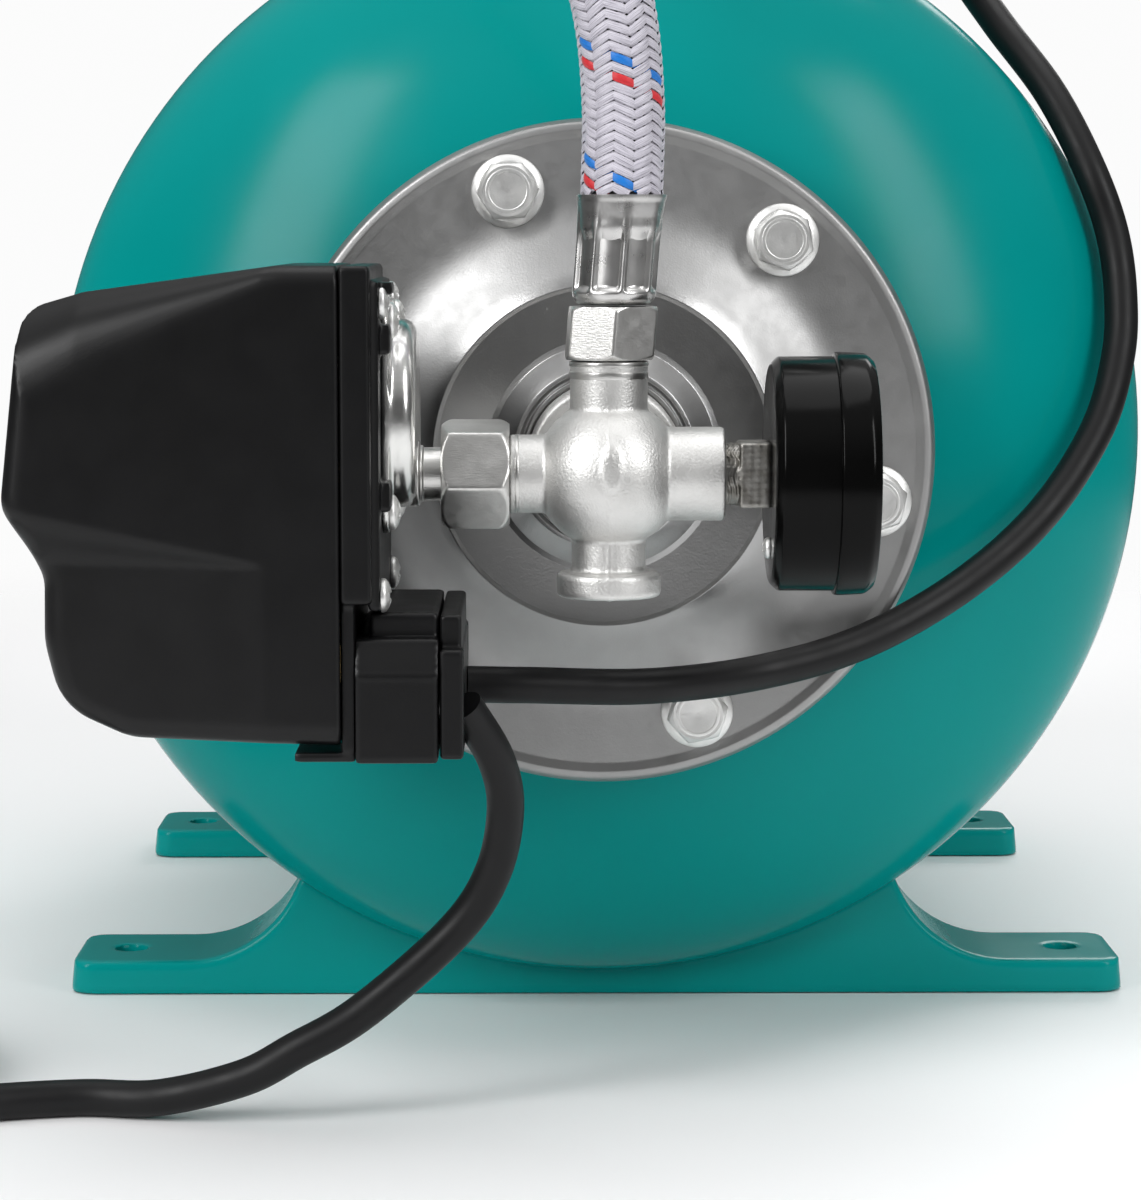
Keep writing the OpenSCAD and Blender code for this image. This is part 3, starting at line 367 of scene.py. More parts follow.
def turned(profile, axis, centre, around=96):
    """A [radius, position] profile turned about an axis through centre. It closes on itself,
    or begins and ends on the axis."""
    profile = np.array(profile, float)
    capped = profile[0, 0] <= 0 and profile[-1, 0] <= 0
    poles = profile[[0, -1], 1]
    if capped:
        profile = profile[1:-1]
    r = profile[:, 0][:, None]
    t = np.repeat(profile[:, 1][:, None], around, 1)
    a = np.arange(around) * TAU / around
    u, v = r * np.cos(a), r * np.sin(a)
    one, two = [c for i, c in enumerate(centre) if i != "xyz".index(axis)]
    grids = {"x": (t, u + one, v + two), "y": (u + one, t, v + two),
             "z": (u + one, v + two, t)}[axis]
    verts = np.stack(grids, -1).reshape(-1, 3)
    faces = ring_faces(len(profile), around, not capped)
    if not capped:
        return verts, faces
    ends = np.tile(np.array(centre, float), (2, 1))
    ends[:, "xyz".index(axis)] = poles
    last = len(verts) - around
    for k in range(around):
        n = (k + 1) % around
        faces.append([len(verts), k, n])
        faces.append([len(verts) + 1, last + n, last + k])
    return np.concatenate([verts, ends]), faces


def lathe(name, profile, axis, centre, material, around=96, radius=0.6, steps=4, **options):
    verts, faces = turned(rounded(profile, radius, steps), axis, centre, around)
    return piece(name, verts, faces, material, **options)


def smooth_path(points, steps):
    """A curve through the points that turns smoothly."""
    p = np.array(points, float)
    ends = [2 * p[0] - p[1], *p, 2 * p[-1] - p[-2]]
    out = []
    for a, b, c, d in zip(ends, ends[1:], ends[2:], ends[3:]):
        for s in range(steps):
            t = s / steps
            out.append(0.5 * (2 * b + (c - a) * t + (2 * a - 5 * b + 4 * c - d) * t ** 2
                              + (3 * b - a - 3 * c + d) * t ** 3))
    return np.array(out + [p[-1]])


def even_path(points, gap):
    """The same curve with a point every gap millimetres."""
    length = np.concatenate([[0], np.cumsum(np.linalg.norm(np.diff(points, axis=0), axis=1))])
    count = max(2, int(round(length[-1] / gap)) + 1)
    at = np.linspace(0, length[-1], count)
    return np.stack([np.interp(at, length, points[:, i]) for i in range(3)], 1), at


def frames_along(path):
    """Tangent and two side directions at each point, without twist."""
    t = np.gradient(path, axis=0)
    t /= np.linalg.norm(t, axis=1)[:, None]
    n = np.array((1, 0, 0), float)
    ones = []
    for direction in t:
        n = n - (n @ direction) * direction
        n /= np.linalg.norm(n)
        ones.append(n.copy())
    ones = np.array(ones)
    return t, ones, np.cross(t, ones)


def tube_mesh(path, radius, around=28):
    """Closed round tube with flat ends."""
    _, one, two = frames_along(path)
    a = np.arange(around) * TAU / around
    circle = one[:, None] * np.cos(a)[None, :, None] + two[:, None] * np.sin(a)[None, :, None]
    verts = (path[:, None] + radius * circle).reshape(-1, 3)
    faces = [f[::-1] for f in ring_faces(len(path), around, False)]
    last = (len(path) - 1) * around
    return verts, faces + [list(range(around)), [last + k for k in range(around - 1, -1, -1)]]


# ---------------------------------------------------------------- solids from distance fields

def soft_max(a, b, k):
    """The larger of two distances, with an edge rounded by about k."""
    h = np.clip(0.5 + 0.5 * (a - b) / k, 0, 1)
    return b + (a - b) * h + k * h * (1 - h)


def soft_min(a, b, k):
    return -soft_max(-a, -b, k)


def union(*fields):
    return functools.reduce(np.minimum, fields)


def common(*fields):
    return functools.reduce(np.maximum, fields)


def off_axis(u, v):
    """Distance from an axis, with u and v across it."""
    return np.sqrt(u * u + v * v)


def nearest_axis(u, v, us, vs):
    """Distance from the nearest of the axes that stand at every pair of us and vs."""
    return union(*[off_axis(u - a, v - b) for a in us for b in vs])


def box_field(x, y, z, lo, hi, r=1.0):
    """Distance to a box with rounded edges."""
    q = [np.abs(v - (a + b) / 2) - (b - a) / 2 + r for v, a, b in zip((x, y, z), lo, hi)]
    outside = np.sqrt(sum(np.maximum(v, 0) ** 2 for v in q))
    return outside + np.minimum(common(*q), 0) - r


def rod_field(u, v, t, radius, lo, hi, r=0.8):
    """Distance to a cylinder with rounded rims: u and v across its axis, t along it."""
    a = off_axis(u, v) - radius + r
    b = np.abs(t - (lo + hi) / 2) - (hi - lo) / 2 + r
    return (np.sqrt(np.maximum(a, 0) ** 2 + np.maximum(b, 0) ** 2)
            + np.minimum(np.maximum(a, b), 0) - r)


def outline_field(u, v, points):
    """Signed distance to a closed outline, by its edges."""
    p = np.array(points, float)
    best = np.full(u.shape, 1e9)
    sign = np.ones(u.shape)
    for a, b in zip(p, np.roll(p, -1, 0)):
        e = b - a
        du, dv = u - a[0], v - a[1]
        h = np.clip((du * e[0] + dv * e[1]) / (e @ e), 0, 1)
        best = np.minimum(best, (du - e[0] * h) ** 2 + (dv - e[1] * h) ** 2)
        crosses = ((a[1] <= v) != (b[1] <= v)) & (
            (du * e[1] - dv * e[0]) * np.sign(e[1]) < 0)
        sign = np.where(crosses, -sign, sign)
    return np.sqrt(best) * sign


def solid(field, lo, hi, cell):
    """Vertices and quads where the field crosses zero: one vertex in each crossed cell."""
    cell = cell * 1
    axes = [np.arange(a - 1.5 * cell, b + 2.5 * cell, cell) for a, b in zip(lo, hi)]
    grid = np.meshgrid(*axes, indexing="ij")
    v = field(*grid).astype(np.float32)
    size = v.shape
    total = np.zeros((*[s - 1 for s in size], 3), np.float32)
    count = np.zeros(total.shape[:3], np.float32)
    crossings = []
    for axis in range(3):
        near = v[tuple(slice(None, -1) if i == axis else slice(None) for i in range(3))]
        far = v[tuple(slice(1, None) if i == axis else slice(None) for i in range(3))]
        cut = (near < 0) != (far < 0)
        with np.errstate(divide="ignore", invalid="ignore"):
            part = np.where(cut, near / (near - far), 0)
        crossings.append((cut, near < 0))
        others = [i for i in range(3) if i != axis]
        for a in (0, 1):
            for b in (0, 1):
                take = [slice(None)] * 3
                for i, shift in zip(others, (a, b)):
                    take[i] = slice(shift, size[i] - 1 + shift)
                c = cut[tuple(take)]
                count += c
                total[..., axis] += np.where(c, part[tuple(take)], 0)
                for i, shift in zip(others, (a, b)):
                    total[..., i] += c * shift
    used = count > 0
    index = np.full(used.shape, -1, np.int64)
    index[used] = np.arange(used.sum())
    corner = np.stack(np.nonzero(used), 1)
    verts = (corner + total[used] / count[used][:, None]) * cell + [a[0] for a in axes]
    faces = []
    for axis in range(3):
        cut, inside = crossings[axis]
        b, c = [(axis + 1) % 3, (axis + 2) % 3]
        at = np.stack(np.nonzero(cut), 1)
        at = at[(at[:, b] > 0) & (at[:, c] > 0)]
        at = at[(at[:, b] < size[b] - 1) & (at[:, c] < size[c] - 1)]
        ring = []
        for db, dc in ((1, 1), (0, 1), (0, 0), (1, 0)):
            q = at.copy()
            q[:, b] -= db
            q[:, c] -= dc
            ring.append(index[q[:, 0], q[:, 1], q[:, 2]])
        quads = np.stack(ring, 1)
        flip = ~inside[at[:, 0], at[:, 1], at[:, 2]]
        quads[flip] = quads[flip][:, ::-1]
        faces += quads[(quads >= 0).all(1)].tolist()
    return verts, faces


def carved(name, field, lo, hi, cell, material, **options):
    verts, faces = solid(field, lo, hi, cell)
    options.setdefault("angle", 60)
    return piece(name, verts, faces, material, **options)


# ---------------------------------------------------------------- leads and hose

MAINS_ROUTE = [
    (-32, -267, 97.5), (-30.5, -265.5, 95), (-25, -259.5, 84.5), (-23, -253.5, 72.5),
    (-26, -249, 57), (-35, -247, 43), (-55.5, -250, 25.5), (-70.5, -251.5, 17),
    (-82.5, -250.5, 10.5), (-102, -246.5, 5), (-120, -243, 4.2), (-142, -248, 4.2),
    (-171, -259.5, 4.2), (-205, -265.2, 4.2)]
TAIL_ROUTE = [(-255.2, -215, 12.6), (-255.6, -200, 13.5), (-256.5, -184, 17), (-257, -168, 19)]
MOTOR_ROUTE = [
    (-32, -235, 98), (-17.5, -233, 97.5), (10, -223.5, 96), (37, -206, 97), (62, -196, 103),
    (87, -183, 115), (108, -169.5, 131), (123, -158.5, 151), (129.5, -150.5, 169),
    (131, -144.5, 184), (129.5, -139, 200), (124, -135, 216.5), (115.5, -123, 236),
    (104, -105, 255), (96, -85, 272), (93, -62, 292), (92, -38, 316), (92, -15, 343),
    (92.5, 8, 372), (96, 27.5, 402), (97, 35.5, 428.5), (92, 38.5, 444.5), (83.5, 40, 455.5),
    (72.5, 40.5, 462.5), (60.5, 40.5, 466), (50, 40, 467)]
HOSE_ARM = ELBOW_ARM + NUT_LENGTH + FERRULE_LENGTH + 0.7
HOSE_TO = (HOSE_ARM * math.sin(ELBOW_TURN), OUTLET_Y - HOSE_ARM * math.cos(ELBOW_TURN), 500)
HOSE_ROUTE = [
    (2.8, -250, 208.4), (3, -250, 230), (0.5, -250, 251), (-7, -247, 275), (-19, -243, 300),
    (-32.5, -239, 325), (-46, -235, 350), (-59, -231, 374.5), (-68, -230.5, 399.5),
    (-70.5, -228.5, 427), (-67, -221, 454), (-59, -207.5, 475.5), (-48, -188, 490.5), HOSE_TO]
COIL_AT = np.array([-205, -215, 0])
COIL_MID_R = 46
SHEATH_GAP = 2.0


def ease(t):
    t = np.clip(t, 0, 1)
    return t * t * (3 - 2 * t)


def coil_points():
    """The wound turns, from the lead's arrival in the south to where its tail leaves in the west."""
    turns = 3.25
    change = 55
    out = []
    for degrees in np.arange(4, 360 * turns - 3, 6):
        inward = ease((degrees - 260) / change)
        upward = ease((degrees - 590) / change)
        outward = ease((degrees - 900) / change)
        a = math.radians(-90 - degrees)
        r = COIL_MID_R + LEAD_R * (1 - 2 * inward + 2 * outward)
        z = LEAD_R * (1 + 2 * upward)
        out.append(COIL_AT + [r * math.cos(a), r * math.sin(a), z])
    return out


def sheath(name, path, nodes):
    """A lead's piece, and the path that it follows."""
    even, _ = even_path(path, SHEATH_GAP)
    return piece(name, *tube_mesh(even, LEAD_R), "black_rubber", nodes=nodes), even


def make_leads():
    mains_path = np.concatenate([smooth_path(MAINS_ROUTE, 12)[:-1], coil_points(),
                                 smooth_path(TAIL_ROUTE, 8)])
    mains, mains_path = sheath("mains_sheath", mains_path, ("mains_lead", "mains_lead_coil"))
    motor, motor_path = sheath("motor_sheath", smooth_path(MOTOR_ROUTE, 12), ("motor_lead",))
    plug = make_plug()
    tie = make_tie()


def make_plug():
    """Two-pin earthed plug lying on its side, with a ribbed boot and a ribbed grip."""
    centre = (-257, 0, 19)
    y = -168
    shape = Shape()
    boot = [[0, y], [5.4, y]]
    for i in range(6):
        at = y + 2 + 3.6 * i
        boot += [[5.3 + 0.16 * i, at, 0.2], [5.3 + 0.16 * i, at + 1.9, 0.2],
                 [4.7 + 0.16 * i, at + 2.2, 0.2], [4.7 + 0.16 * i, at + 3.4, 0.2]]
    grip = [[6.6, y + 24.5], [9.4, y + 27], [12.4, y + 33, 3], [14.4, y + 41, 4],
            [15.4, y + 45, 1], [18.7, y + 47.4, 1], [18.7, y + 61.6, 1], [17, y + 63],
            [0, y + 63]]
    verts, faces = turned(rounded(boot + grip, 0.8), "y", centre, 120)
    angle = np.arctan2(verts[:, 2] - centre[2], verts[:, 0] - centre[0])
    along = verts[:, 1] - y
    band = ease((along - 48.5) / 2) * ease((60.5 - along) / 2)
    dent = 0.5 * band * (0.5 + 0.5 * np.cos(36 * angle))
    away = verts - centre
    away[:, 1] = 0
    shape.add(verts - away * (dent / np.maximum(np.linalg.norm(away, axis=1), 1))[:, None],
              faces)
    plug = shape.make("plug_body", "black_rubber", nodes=("mains_plug",))
    pins = Shape()
    for side in (-9.5, 9.5):
        pins.turn([[0, y + 62], [2.4, y + 62], [2.4, y + 81, 1.6], [1.6, y + 82, 1], [0, y + 82]],
                  0.3, "y", (centre[0] + side, 0, centre[2]), 32)
    for side in (-1, 1):
        z = centre[2] + side * 17.6
        ends = (centre[0] - 3, y + 48, z - 0.7), (centre[0] + 3, y + 62.4, z + 0.7)
        pins.add(*solid(lambda a, b, c: box_field(a, b, c, *ends, 0.5), *ends, 0.4))
    metal = pins.make("plug_pins", "zinc_steel")
    metal.parent = plug
    return plug


def make_tie():
    """Hook-and-loop strap round the wound turns."""
    half = 2 * LEAD_R
    middle = np.array([COIL_MID_R, half + 0.1])
    loop = rounded([[middle[0] - half, middle[1] - half + 0.55],
                    [middle[0] + half, middle[1] - half + 0.55],
                    [middle[0] + half + 0.6, middle[1] + half + 0.4],
                    [middle[0] - half - 0.6, middle[1] + half + 0.4]], 3.2, 6)
    a = math.radians(-135)
    out = np.array([math.cos(a), math.sin(a), 0])
    along = np.array([-math.sin(a), math.cos(a), 0])
    inner = [middle + (np.array(p) - middle) * (1 - 0.9 / half) for p in loop]
    places = (-6, -5.4, 5.4, 6)
    verts = [COIL_AT + out * p[0] + [0, 0, p[1]] + along * across
             for side, order in ((loop, places), (inner, places[::-1]))
             for across in order for p in side]
    return piece("lead_tie", verts, ring_faces(2 * len(places), len(loop), True), "black_rubber")


def make_hose():
    """Woven sleeve of two sets of flat strands over a rubber hose, with two tracer strands."""
    strands = 12
    pitch = 26.5
    lift = 0.36
    middle = HOSE_R - lift - 0.22
    path, at = even_path(smooth_path(HOSE_ROUTE, 12), 0.55)
    _, one, two = frames_along(path)
    sets = {"hose_braid": Shape(), "tracer_blue": Shape(), "tracer_red": Shape()}
    uvs = {key: [] for key in sets}
    section = [(-1, 0), (-0.6, 0.62), (0, 0.85), (0.6, 0.62), (1, 0), (0, -0.5)]
    for turn in (1, -1):
        for strand in range(strands):
            angle = math.radians(-90) + TAU * strand / strands + turn * TAU * (at - 2.8) / pitch
            wave = np.cos(strands / 2 * (angle + math.radians(90)))
            over = -turn * wave
            height = middle + lift * np.tanh(2.2 * over)
            width = 0.93 * (0.8 + 0.2 * ease((over + 0.35) / 0.8))
            around = (-np.sin(angle)[:, None] * one + np.cos(angle)[:, None] * two)
            out = (np.cos(angle)[:, None] * one + np.sin(angle)[:, None] * two)
            ahead = np.gradient(path + out * height[:, None], axis=0)
            ahead /= np.linalg.norm(ahead, axis=1)[:, None]
            across = np.cross(ahead, out)
            rings = []
            for w, h in section:
                # the strand's edges follow the hose's round surface
                shift = across * (w * width)[:, None]
                drop = (w * width) ** 2 / (2 * height)
                rings.append(path + out * (height + 0.24 * h - drop * 0.8)[:, None] + shift)
            verts = np.stack(rings, 1).reshape(-1, 3)
            faces = ring_faces(len(path), len(section), False)
            last = (len(path) - 1) * len(section)
            faces += [list(range(len(section)))[::-1],
                      [last + k for k in range(len(section))]]
            key = "hose_braid"
            if turn == -1 and strand == 0:
                key = "tracer_blue"
            if turn == -1 and strand == strands - 2:
                key = "tracer_red"
            sets[key].add(verts, faces)
            v = np.array([w for w, _ in section])
            uvs[key].append(np.stack([np.repeat(at[:, None], len(section), 1),
                                      np.repeat(v[None], len(path), 0)
                                      + 7.3 * strand + 90 * turn], -1).reshape(-1, 2))
    core_path, _ = even_path(smooth_path(HOSE_ROUTE, 12), 3)
    core = piece("hose_core", *tube_mesh(core_path, middle - lift - 0.1, 32), "black_rubber")
    braid, *tracers = [
        shape.make("sleeve_" + key, key, uv=np.concatenate(uvs[key]), slot="hose_braid",
                   nodes=("braided_hose",) if key == "hose_braid" else (), angle=80)
        for key, shape in sets.items()]


make_leads()
make_hose()


# ---------------------------------------------------------------- tank and flange

def dome(radius, depth, start, way, from_r):
    """[radius, y] points of a pressed end from radius from_r out to the rim."""
    first = math.asin(from_r / radius)
    return [[radius * math.sin(a), start + way * depth * math.cos(a), 0]
            for a in np.linspace(first, math.pi / 2, 41)]


def make_tank():
    sheet = 2
    seam = -24
    outer = dome(TANK_R, DOME, -WALL_Y, -1, 74)[:-1]
    seam_line = [[TANK_R, seam - 6, 2], [TANK_R - 1.1, seam - 3.2, 1], [TANK_R - 1.1, seam - 2.6, 0.3],
                 [TANK_R - 0.1, seam - 1.8, 0.8], [TANK_R - 0.1, seam + 1.8, 0.8],
                 [TANK_R - 1.1, seam + 2.6, 0.3], [TANK_R - 1.1, seam + 3.2, 1], [TANK_R, seam + 6, 2]]
    collar = [[50, FLANGE_BACK + 10, 0], [50, FLANGE_BACK + 2, 0.3], [72.5, FLANGE_BACK + 2, 1],
              [74, FLANGE_BACK + 4, 1], [74, FLANGE_BACK + 12, 2]]
    back = dome(TANK_R, DOME, WALL_Y, 1, 8)[::-1]
    inner = dome(TANK_R - sheet, DOME - sheet, WALL_Y, 1, 8)
    front_inner = dome(TANK_R - sheet, DOME - sheet, -WALL_Y, -1, 52)[::-1]
    lathe("tank_skin", collar + outer + seam_line + back + inner + front_inner, "y",
          (0, 0, TANK_Z), "teal_paint", around=192, nodes=("tank_shell",), angle=50)


def make_flange():
    f = FLANGE_BACK
    cone = [[64.5, f - 3, 0.3]]
    for r in range(63, 42, -1):
        slope = 0.55 * float(ease((64 - r) / 14.5))
        cone.append([r, cone[-1][1] - slope * (cone[-1][0] - r), 0.3])
    profile = [
        [16.65, f, 0.3], [43, f - 2, 0.5], [57, f, 0.5], [78, f, 0.5], [78.4, f + 4, 0.3],
        [79.4, f + 4.2, 0.4], [80, f + 3.4, 0.4], [80, f - 0.8, 1.6], [78.9, f - 3.3, 1.2],
        [77.2, f - 3.6, 1.2], [75.2, f - 2.9, 2], *cone,
        [40.6, f - 12.3, 0.5], [39.6, f - 12, 0.4], [28, f - 12, 0.6],
        [26.6, f - 12.4, 0.5], [23.6, f - 15.4, 2.4], [21.6, f - 17.1, 0.6], [20.6, f - 17.4, 0.4],
        [19.8, f - 16.4, 0.4], [19.2, f - 17.2, 0.3], [18.4, f - 17.2, 0.3], [17.6, f - 16.2, 0.4],
        [16.65, f - 16, 0.3]]
    lathe("counter_flange", profile, "y", (0, 0, TANK_Z), "stainless", around=192,
          nodes=("tank_flange",), steps=5)


def hexagon(across, length, cut=(None, None), depth=1.4, bore=0.0, edge=0.3, turn=0.0,
            around=180, lift=0.0):
    """A hexagon standing on z = 0, whose corners are turned down at both ends from a radius
    cut over a length depth, so that each face ends in a curve. A corner stands at turn, and
    the whole is raised by lift."""
    corner = across / math.sqrt(3)
    cut = [corner - 1.2 if c is None else c for c in cut]
    a = np.arange(around) * TAU / around
    local = (a - math.radians(turn)) % (math.pi / 3) - math.pi / 6
    flat = across / 2 / np.cos(local)
    part = np.linspace(0, 1, 9)
    z = np.concatenate([depth * part, np.linspace(depth, length - depth, 6)[1:-1],
                        length - depth * part[::-1]])
    rings = []
    for at in z:
        low = cut[0] + (corner + 0.1 - cut[0]) * math.sin(min(at / depth, 1) * math.pi / 2)
        high = cut[1] + (corner + 0.1 - cut[1]) * math.sin(
            min((length - at) / depth, 1) * math.pi / 2)
        r = soft_min(flat, np.full_like(flat, min(low, high)), edge)
        rings.append(ring(a, r, at))
    rings += [ring(a, max(bore, 0.5), at) for at in (length, 0)]
    verts = np.concatenate(rings) + [0, 0, lift]
    faces = ring_faces(len(rings), around, bore > 0)
    if bore <= 0:
        last = len(verts) - around
        faces += [list(range(last, last + around)),
                  list(range(last - 1, last - around - 1, -1))]
    return verts, faces


def towards(axis, at, turn=0.0):
    """Places a shape standing along z so that it points along another axis."""
    c, s = math.cos(math.radians(turn)), math.sin(math.radians(turn))

    def place(v):
        x, y, z = v[:, 0] * c - v[:, 1] * s, v[:, 0] * s + v[:, 1] * c, v[:, 2]
        turned_to = {"+z": (x, y, z), "-y": (x, -z, y), "+y": (-x, z, y),
                     "+x": (z, x, y), "-x": (-z, -x, y)}[axis]
        return np.stack(turned_to, 1) + at
    return place


def flange_bolt(shape, place):
    """Head with a pressed washer face and a shallow dish in its top."""
    washer_r = 8.7
    height = 6.4
    washer = 1.4
    shape.turn([[0, 0, 0], [washer_r, 0, 0.5], [washer_r, 1.1, 0.6], [washer_r - 1.6, 2.1, 1.2],
                [0, 2.1, 0]], 0.4, "z", (0, 0, 0), 72, place)
    verts, faces = hexagon(13, height - washer, (6.9, 6.0), depth=2.2, around=144, lift=washer)
    top = verts[:, 2] > height - 0.01
    verts[top, 2] -= 0.4 * (1 - np.minimum(np.linalg.norm(verts[top, :2], axis=1) / 5, 1))
    shape.add(verts, faces, place)
    shape.turn([[0, height - 1, 0], [5.6, height - 1, 0.1], [5.6, height, 0.5], [4.5, height, 0.4],
                [4.0, height - 0.45, 0.4], [0, height - 0.45, 0]], 0.3, "z", (0, 0, 0), 48, place)


def make_flange_bolts():
    shape = Shape()
    bolt_r = 66.5
    for i in range(6):
        a = math.radians(-10 + 60 * i)
        at = (bolt_r * math.cos(a), FLANGE_BACK - 3, TANK_Z + bolt_r * math.sin(a))
        flange_bolt(shape, towards("-y", at, turn=17 + 23 * i))
        shape.turn([[0, -20, 0], [4, -20, 0.6], [4, 0.4, 0], [0, 0.4, 0]], 0.2, "z", (0, 0, 0),
                   32, towards("-y", at))
    shape.make("flange_bolt_heads", "zinc_steel", nodes=("flange_bolts",))


def foot_points(inset):
    """Outline of a foot seen along the tank, from its left end over the concave fillets."""
    half, top, bend, crest = 140 - inset, 9 - inset, 109, 41
    radius = 32 + inset
    arc = [(-bend + radius * math.sin(a), crest - radius * math.cos(a))
           for a in np.linspace(0, 1.18, 14)]
    bottom = -3 if inset else -0.01
    points = [(-half, bottom), (-half + 1.4, top), *arc, (arc[-1][0] + 2, arc[-1][1] + 4)]
    return points + [(-x, z) for x, z in reversed(points)]


def make_feet():
    sheet = 2
    outer, inner = foot_points(0), foot_points(sheet)
    for name, y in (("front", -100), ("rear", 100)):
        def field(x, yy, z, y=y):
            u, w = x[:, 0, :], z[:, 0, :]
            side = outline_field(u, w, outer)[:, None, :]
            inside = outline_field(u, w, inner)[:, None, :]
            plan = box_field(x, yy, z * 0, (-140, y - 19, -50), (140, y + 19, 50), 7)
            plan_in = box_field(x, yy, z * 0, (-138, y - 17, -50), (138, y + 17, 50), 5)
            skin = soft_max(soft_max(side, plan, 1.8), -z, 0.2)
            hollow = soft_max(inside, plan_in, 1.5)
            tank = TANK_R - 0.3 - off_axis(x, z - TANK_Z)
            body = common(skin, -hollow, tank)
            for hole in (-125, 125):
                r = off_axis(x - hole, yy - y)
                body = np.minimum(body, common(r - 6.2, z - 8, -z))
                body = soft_max(body, 4.25 - r, 0.5)
            return body

        carved(name + "_foot_skin", field, (-140, y - 19, 0), (140, y + 19, 36), 0.9,
               "teal_paint", nodes=(name + "_foot",), angle=45)


make_tank()
make_flange()
make_flange_bolts()
make_feet()


# ---------------------------------------------------------------- five-way fitting, nuts and ferrules

def make_fitting():
    x0, y0, z0 = FIT

    def field(x, y, z):
        u, v, w = x - x0, y - y0, z - z0
        ball = np.sqrt(u * u + v * v + w * w) - 16.6
        left = rod_field(v, w, u, 8.7, -22, 0, 0.4)
        right = rod_field(v, w, u, 10.4, 0, 25.7, 0.9)
        top = rod_field(u, v, z, 8.6, z0, 171.8, 0.4)
        low = rod_field(u, v, z, 8.2, 121, z0, 0.4)
        stub = rod_field(u, w, y, 11.6, y0, -212, 0.5)
        hub = rod_field(u, z - TANK_Z, y, 18, -221, -203, 1.6)
        body = ball
        for arm in (left, right, top, low, stub):
            body = soft_min(body, arm, 0.5)  # cast arms, with a tight fillet
        body = soft_min(body, hub, 2.2)
        collar = rod_field(u, v, z, 11.6, 119.7, 125.3, 1.3)
        body = soft_min(body, collar, 1.2)
        pad = np.sqrt(((u - 0.4) / 2.5) ** 2 + ((w - 2.5) / 5.4) ** 2)
        body = body - 0.3 * ease((1.1 - pad) / 0.3) * (v < 0)
        seam = 0.22 * np.exp(-(u / 0.32) ** 2) * (np.abs(w) > 4) * (w < 15)
        body = body - seam
        outlet = np.maximum(off_axis(u, v) - 6.5, z - z0)
        mouth = np.maximum(off_axis(u, v) - 5, z0 - z)
        side = off_axis(v, w) - np.where(u > 14, 6.6, 4)
        return soft_max(body, -union(outlet, mouth, side), 0.5)

    carved("fitting_casting", field, (-22, -268, 119.7), (25.8, -203, 172), 0.5,
           "nickel_brass", nodes=("fiveway_body",))
    turned_parts = Shape()
    turned_parts.turn(thread(7.4, 171, 182, 1.6, 5), 0.12, "z", (0, y0, 0), 64, steps=2)
    left = [[4, -30.2], [7.7, -30.2, 0.3], [8.6, -29.4, 0.3], [8.6, -22.6, 0.3],
            [7.8, -22.2, 0.3], [7.8, -21.2, 0.3], [8.8, -20.8, 0.3], [8.8, -20, 0.3], [8.2, -19.6],
            [4, -19.6]]
    turned_parts.turn(left, 0.2, "x", (0, y0, z0), 72, steps=2)
    neck = [[5, 168], [8.7, 168, 0.3], [8.75, 169.6, 0.2], [8.3, 170, 0.2], [8.3, 170.6, 0.2],
            [8.8, 171, 0.2], [8.8, 171.9, 0.3], [7.6, 172.2], [5, 172.2]]
    turned_parts.turn(neck, 0.2, "z", (0, y0, 0), 72, steps=2)
    turned_parts.add(*turned(thread(16.55, -203, -182, 2.3, 11), "y", (0, 0, TANK_Z), 96))
    turned_parts.make("fitting_threads", "machined_nickel", slot="nickel_brass")


def thread(radius, start, end, pitch, bore):
    """Profile of a thread as rings, with a bore inside."""
    points = [[bore, start]]
    depth = 0.42 * pitch
    at = start
    while at < end - pitch:
        points += [[radius - depth, at + 0.12 * pitch], [radius, at + 0.45 * pitch],
                   [radius, at + 0.62 * pitch], [radius - depth, at + 0.95 * pitch]]
        at += pitch
    return points + [[radius - depth, end], [bore, end]]


def hose_end_places():
    """Places a shape at the lower and at the upper end of the hose, z from nut to hose."""
    axis = np.array([math.sin(ELBOW_TURN), -math.cos(ELBOW_TURN), 0])
    side = np.array([math.cos(ELBOW_TURN), math.sin(ELBOW_TURN), 0])

    def lower(v):
        return v + np.stack([2.8 * v[:, 2] / 36, np.full(len(v), FIT[1]),
                             np.full(len(v), 172.3)], 1)

    def upper(v):
        return (ELBOW + v[:, :1] * side + v[:, 1:2] * np.array([0, 0, 1])
                + (ELBOW_ARM + v[:, 2:]) * axis)
    return lower, upper


def ferrule():
    """Crimped sleeve: pads pressed in between ridges that run on up to a flared mouth."""
    flutes = 8
    z = np.linspace(0, FERRULE_LENGTH, 64)
    a = np.arange(flutes * 24) * TAU / (flutes * 24)
    pos = (a * flutes / TAU + 0.79) % 1 - 0.5
    base = np.interp(z, [0, 0.5, 1.4, 2.6, 4.2, 15, 19, 22.5, 23.4, 24],
                     [7.5, 8.4, 9.0, 9.35, 9.45, 9.45, 9.5, 9.75, 9.95, 10.0])
    crease = 1 - ease((np.abs(pos) - 0.33) / 0.14)
    pad_z = ease((z - 2.6) / 1.6) * ease((17.5 - z) / 4.5)
    fade = ease((z - 2) / 3) * ease((23.6 - z) / 7)
    r = (base[:, None] - 1.0 * pad_z[:, None] * crease[None]
         - 0.38 * fade[:, None] * crease[None] ** 2
         + 0.1 * pad_z[:, None] * np.cos(TAU * pos)[None])
    rings = [ring(a, radius, at) for radius, at in zip(r, z)]
    rings += [ring(a, radius, at) for radius, at in
              ((9.5, 24.1), (8.4, 23.6), (8.2, 3.0), (5.6, 2.8), (5.6, 0))]
    return np.concatenate(rings), ring_faces(len(rings), len(a), True)


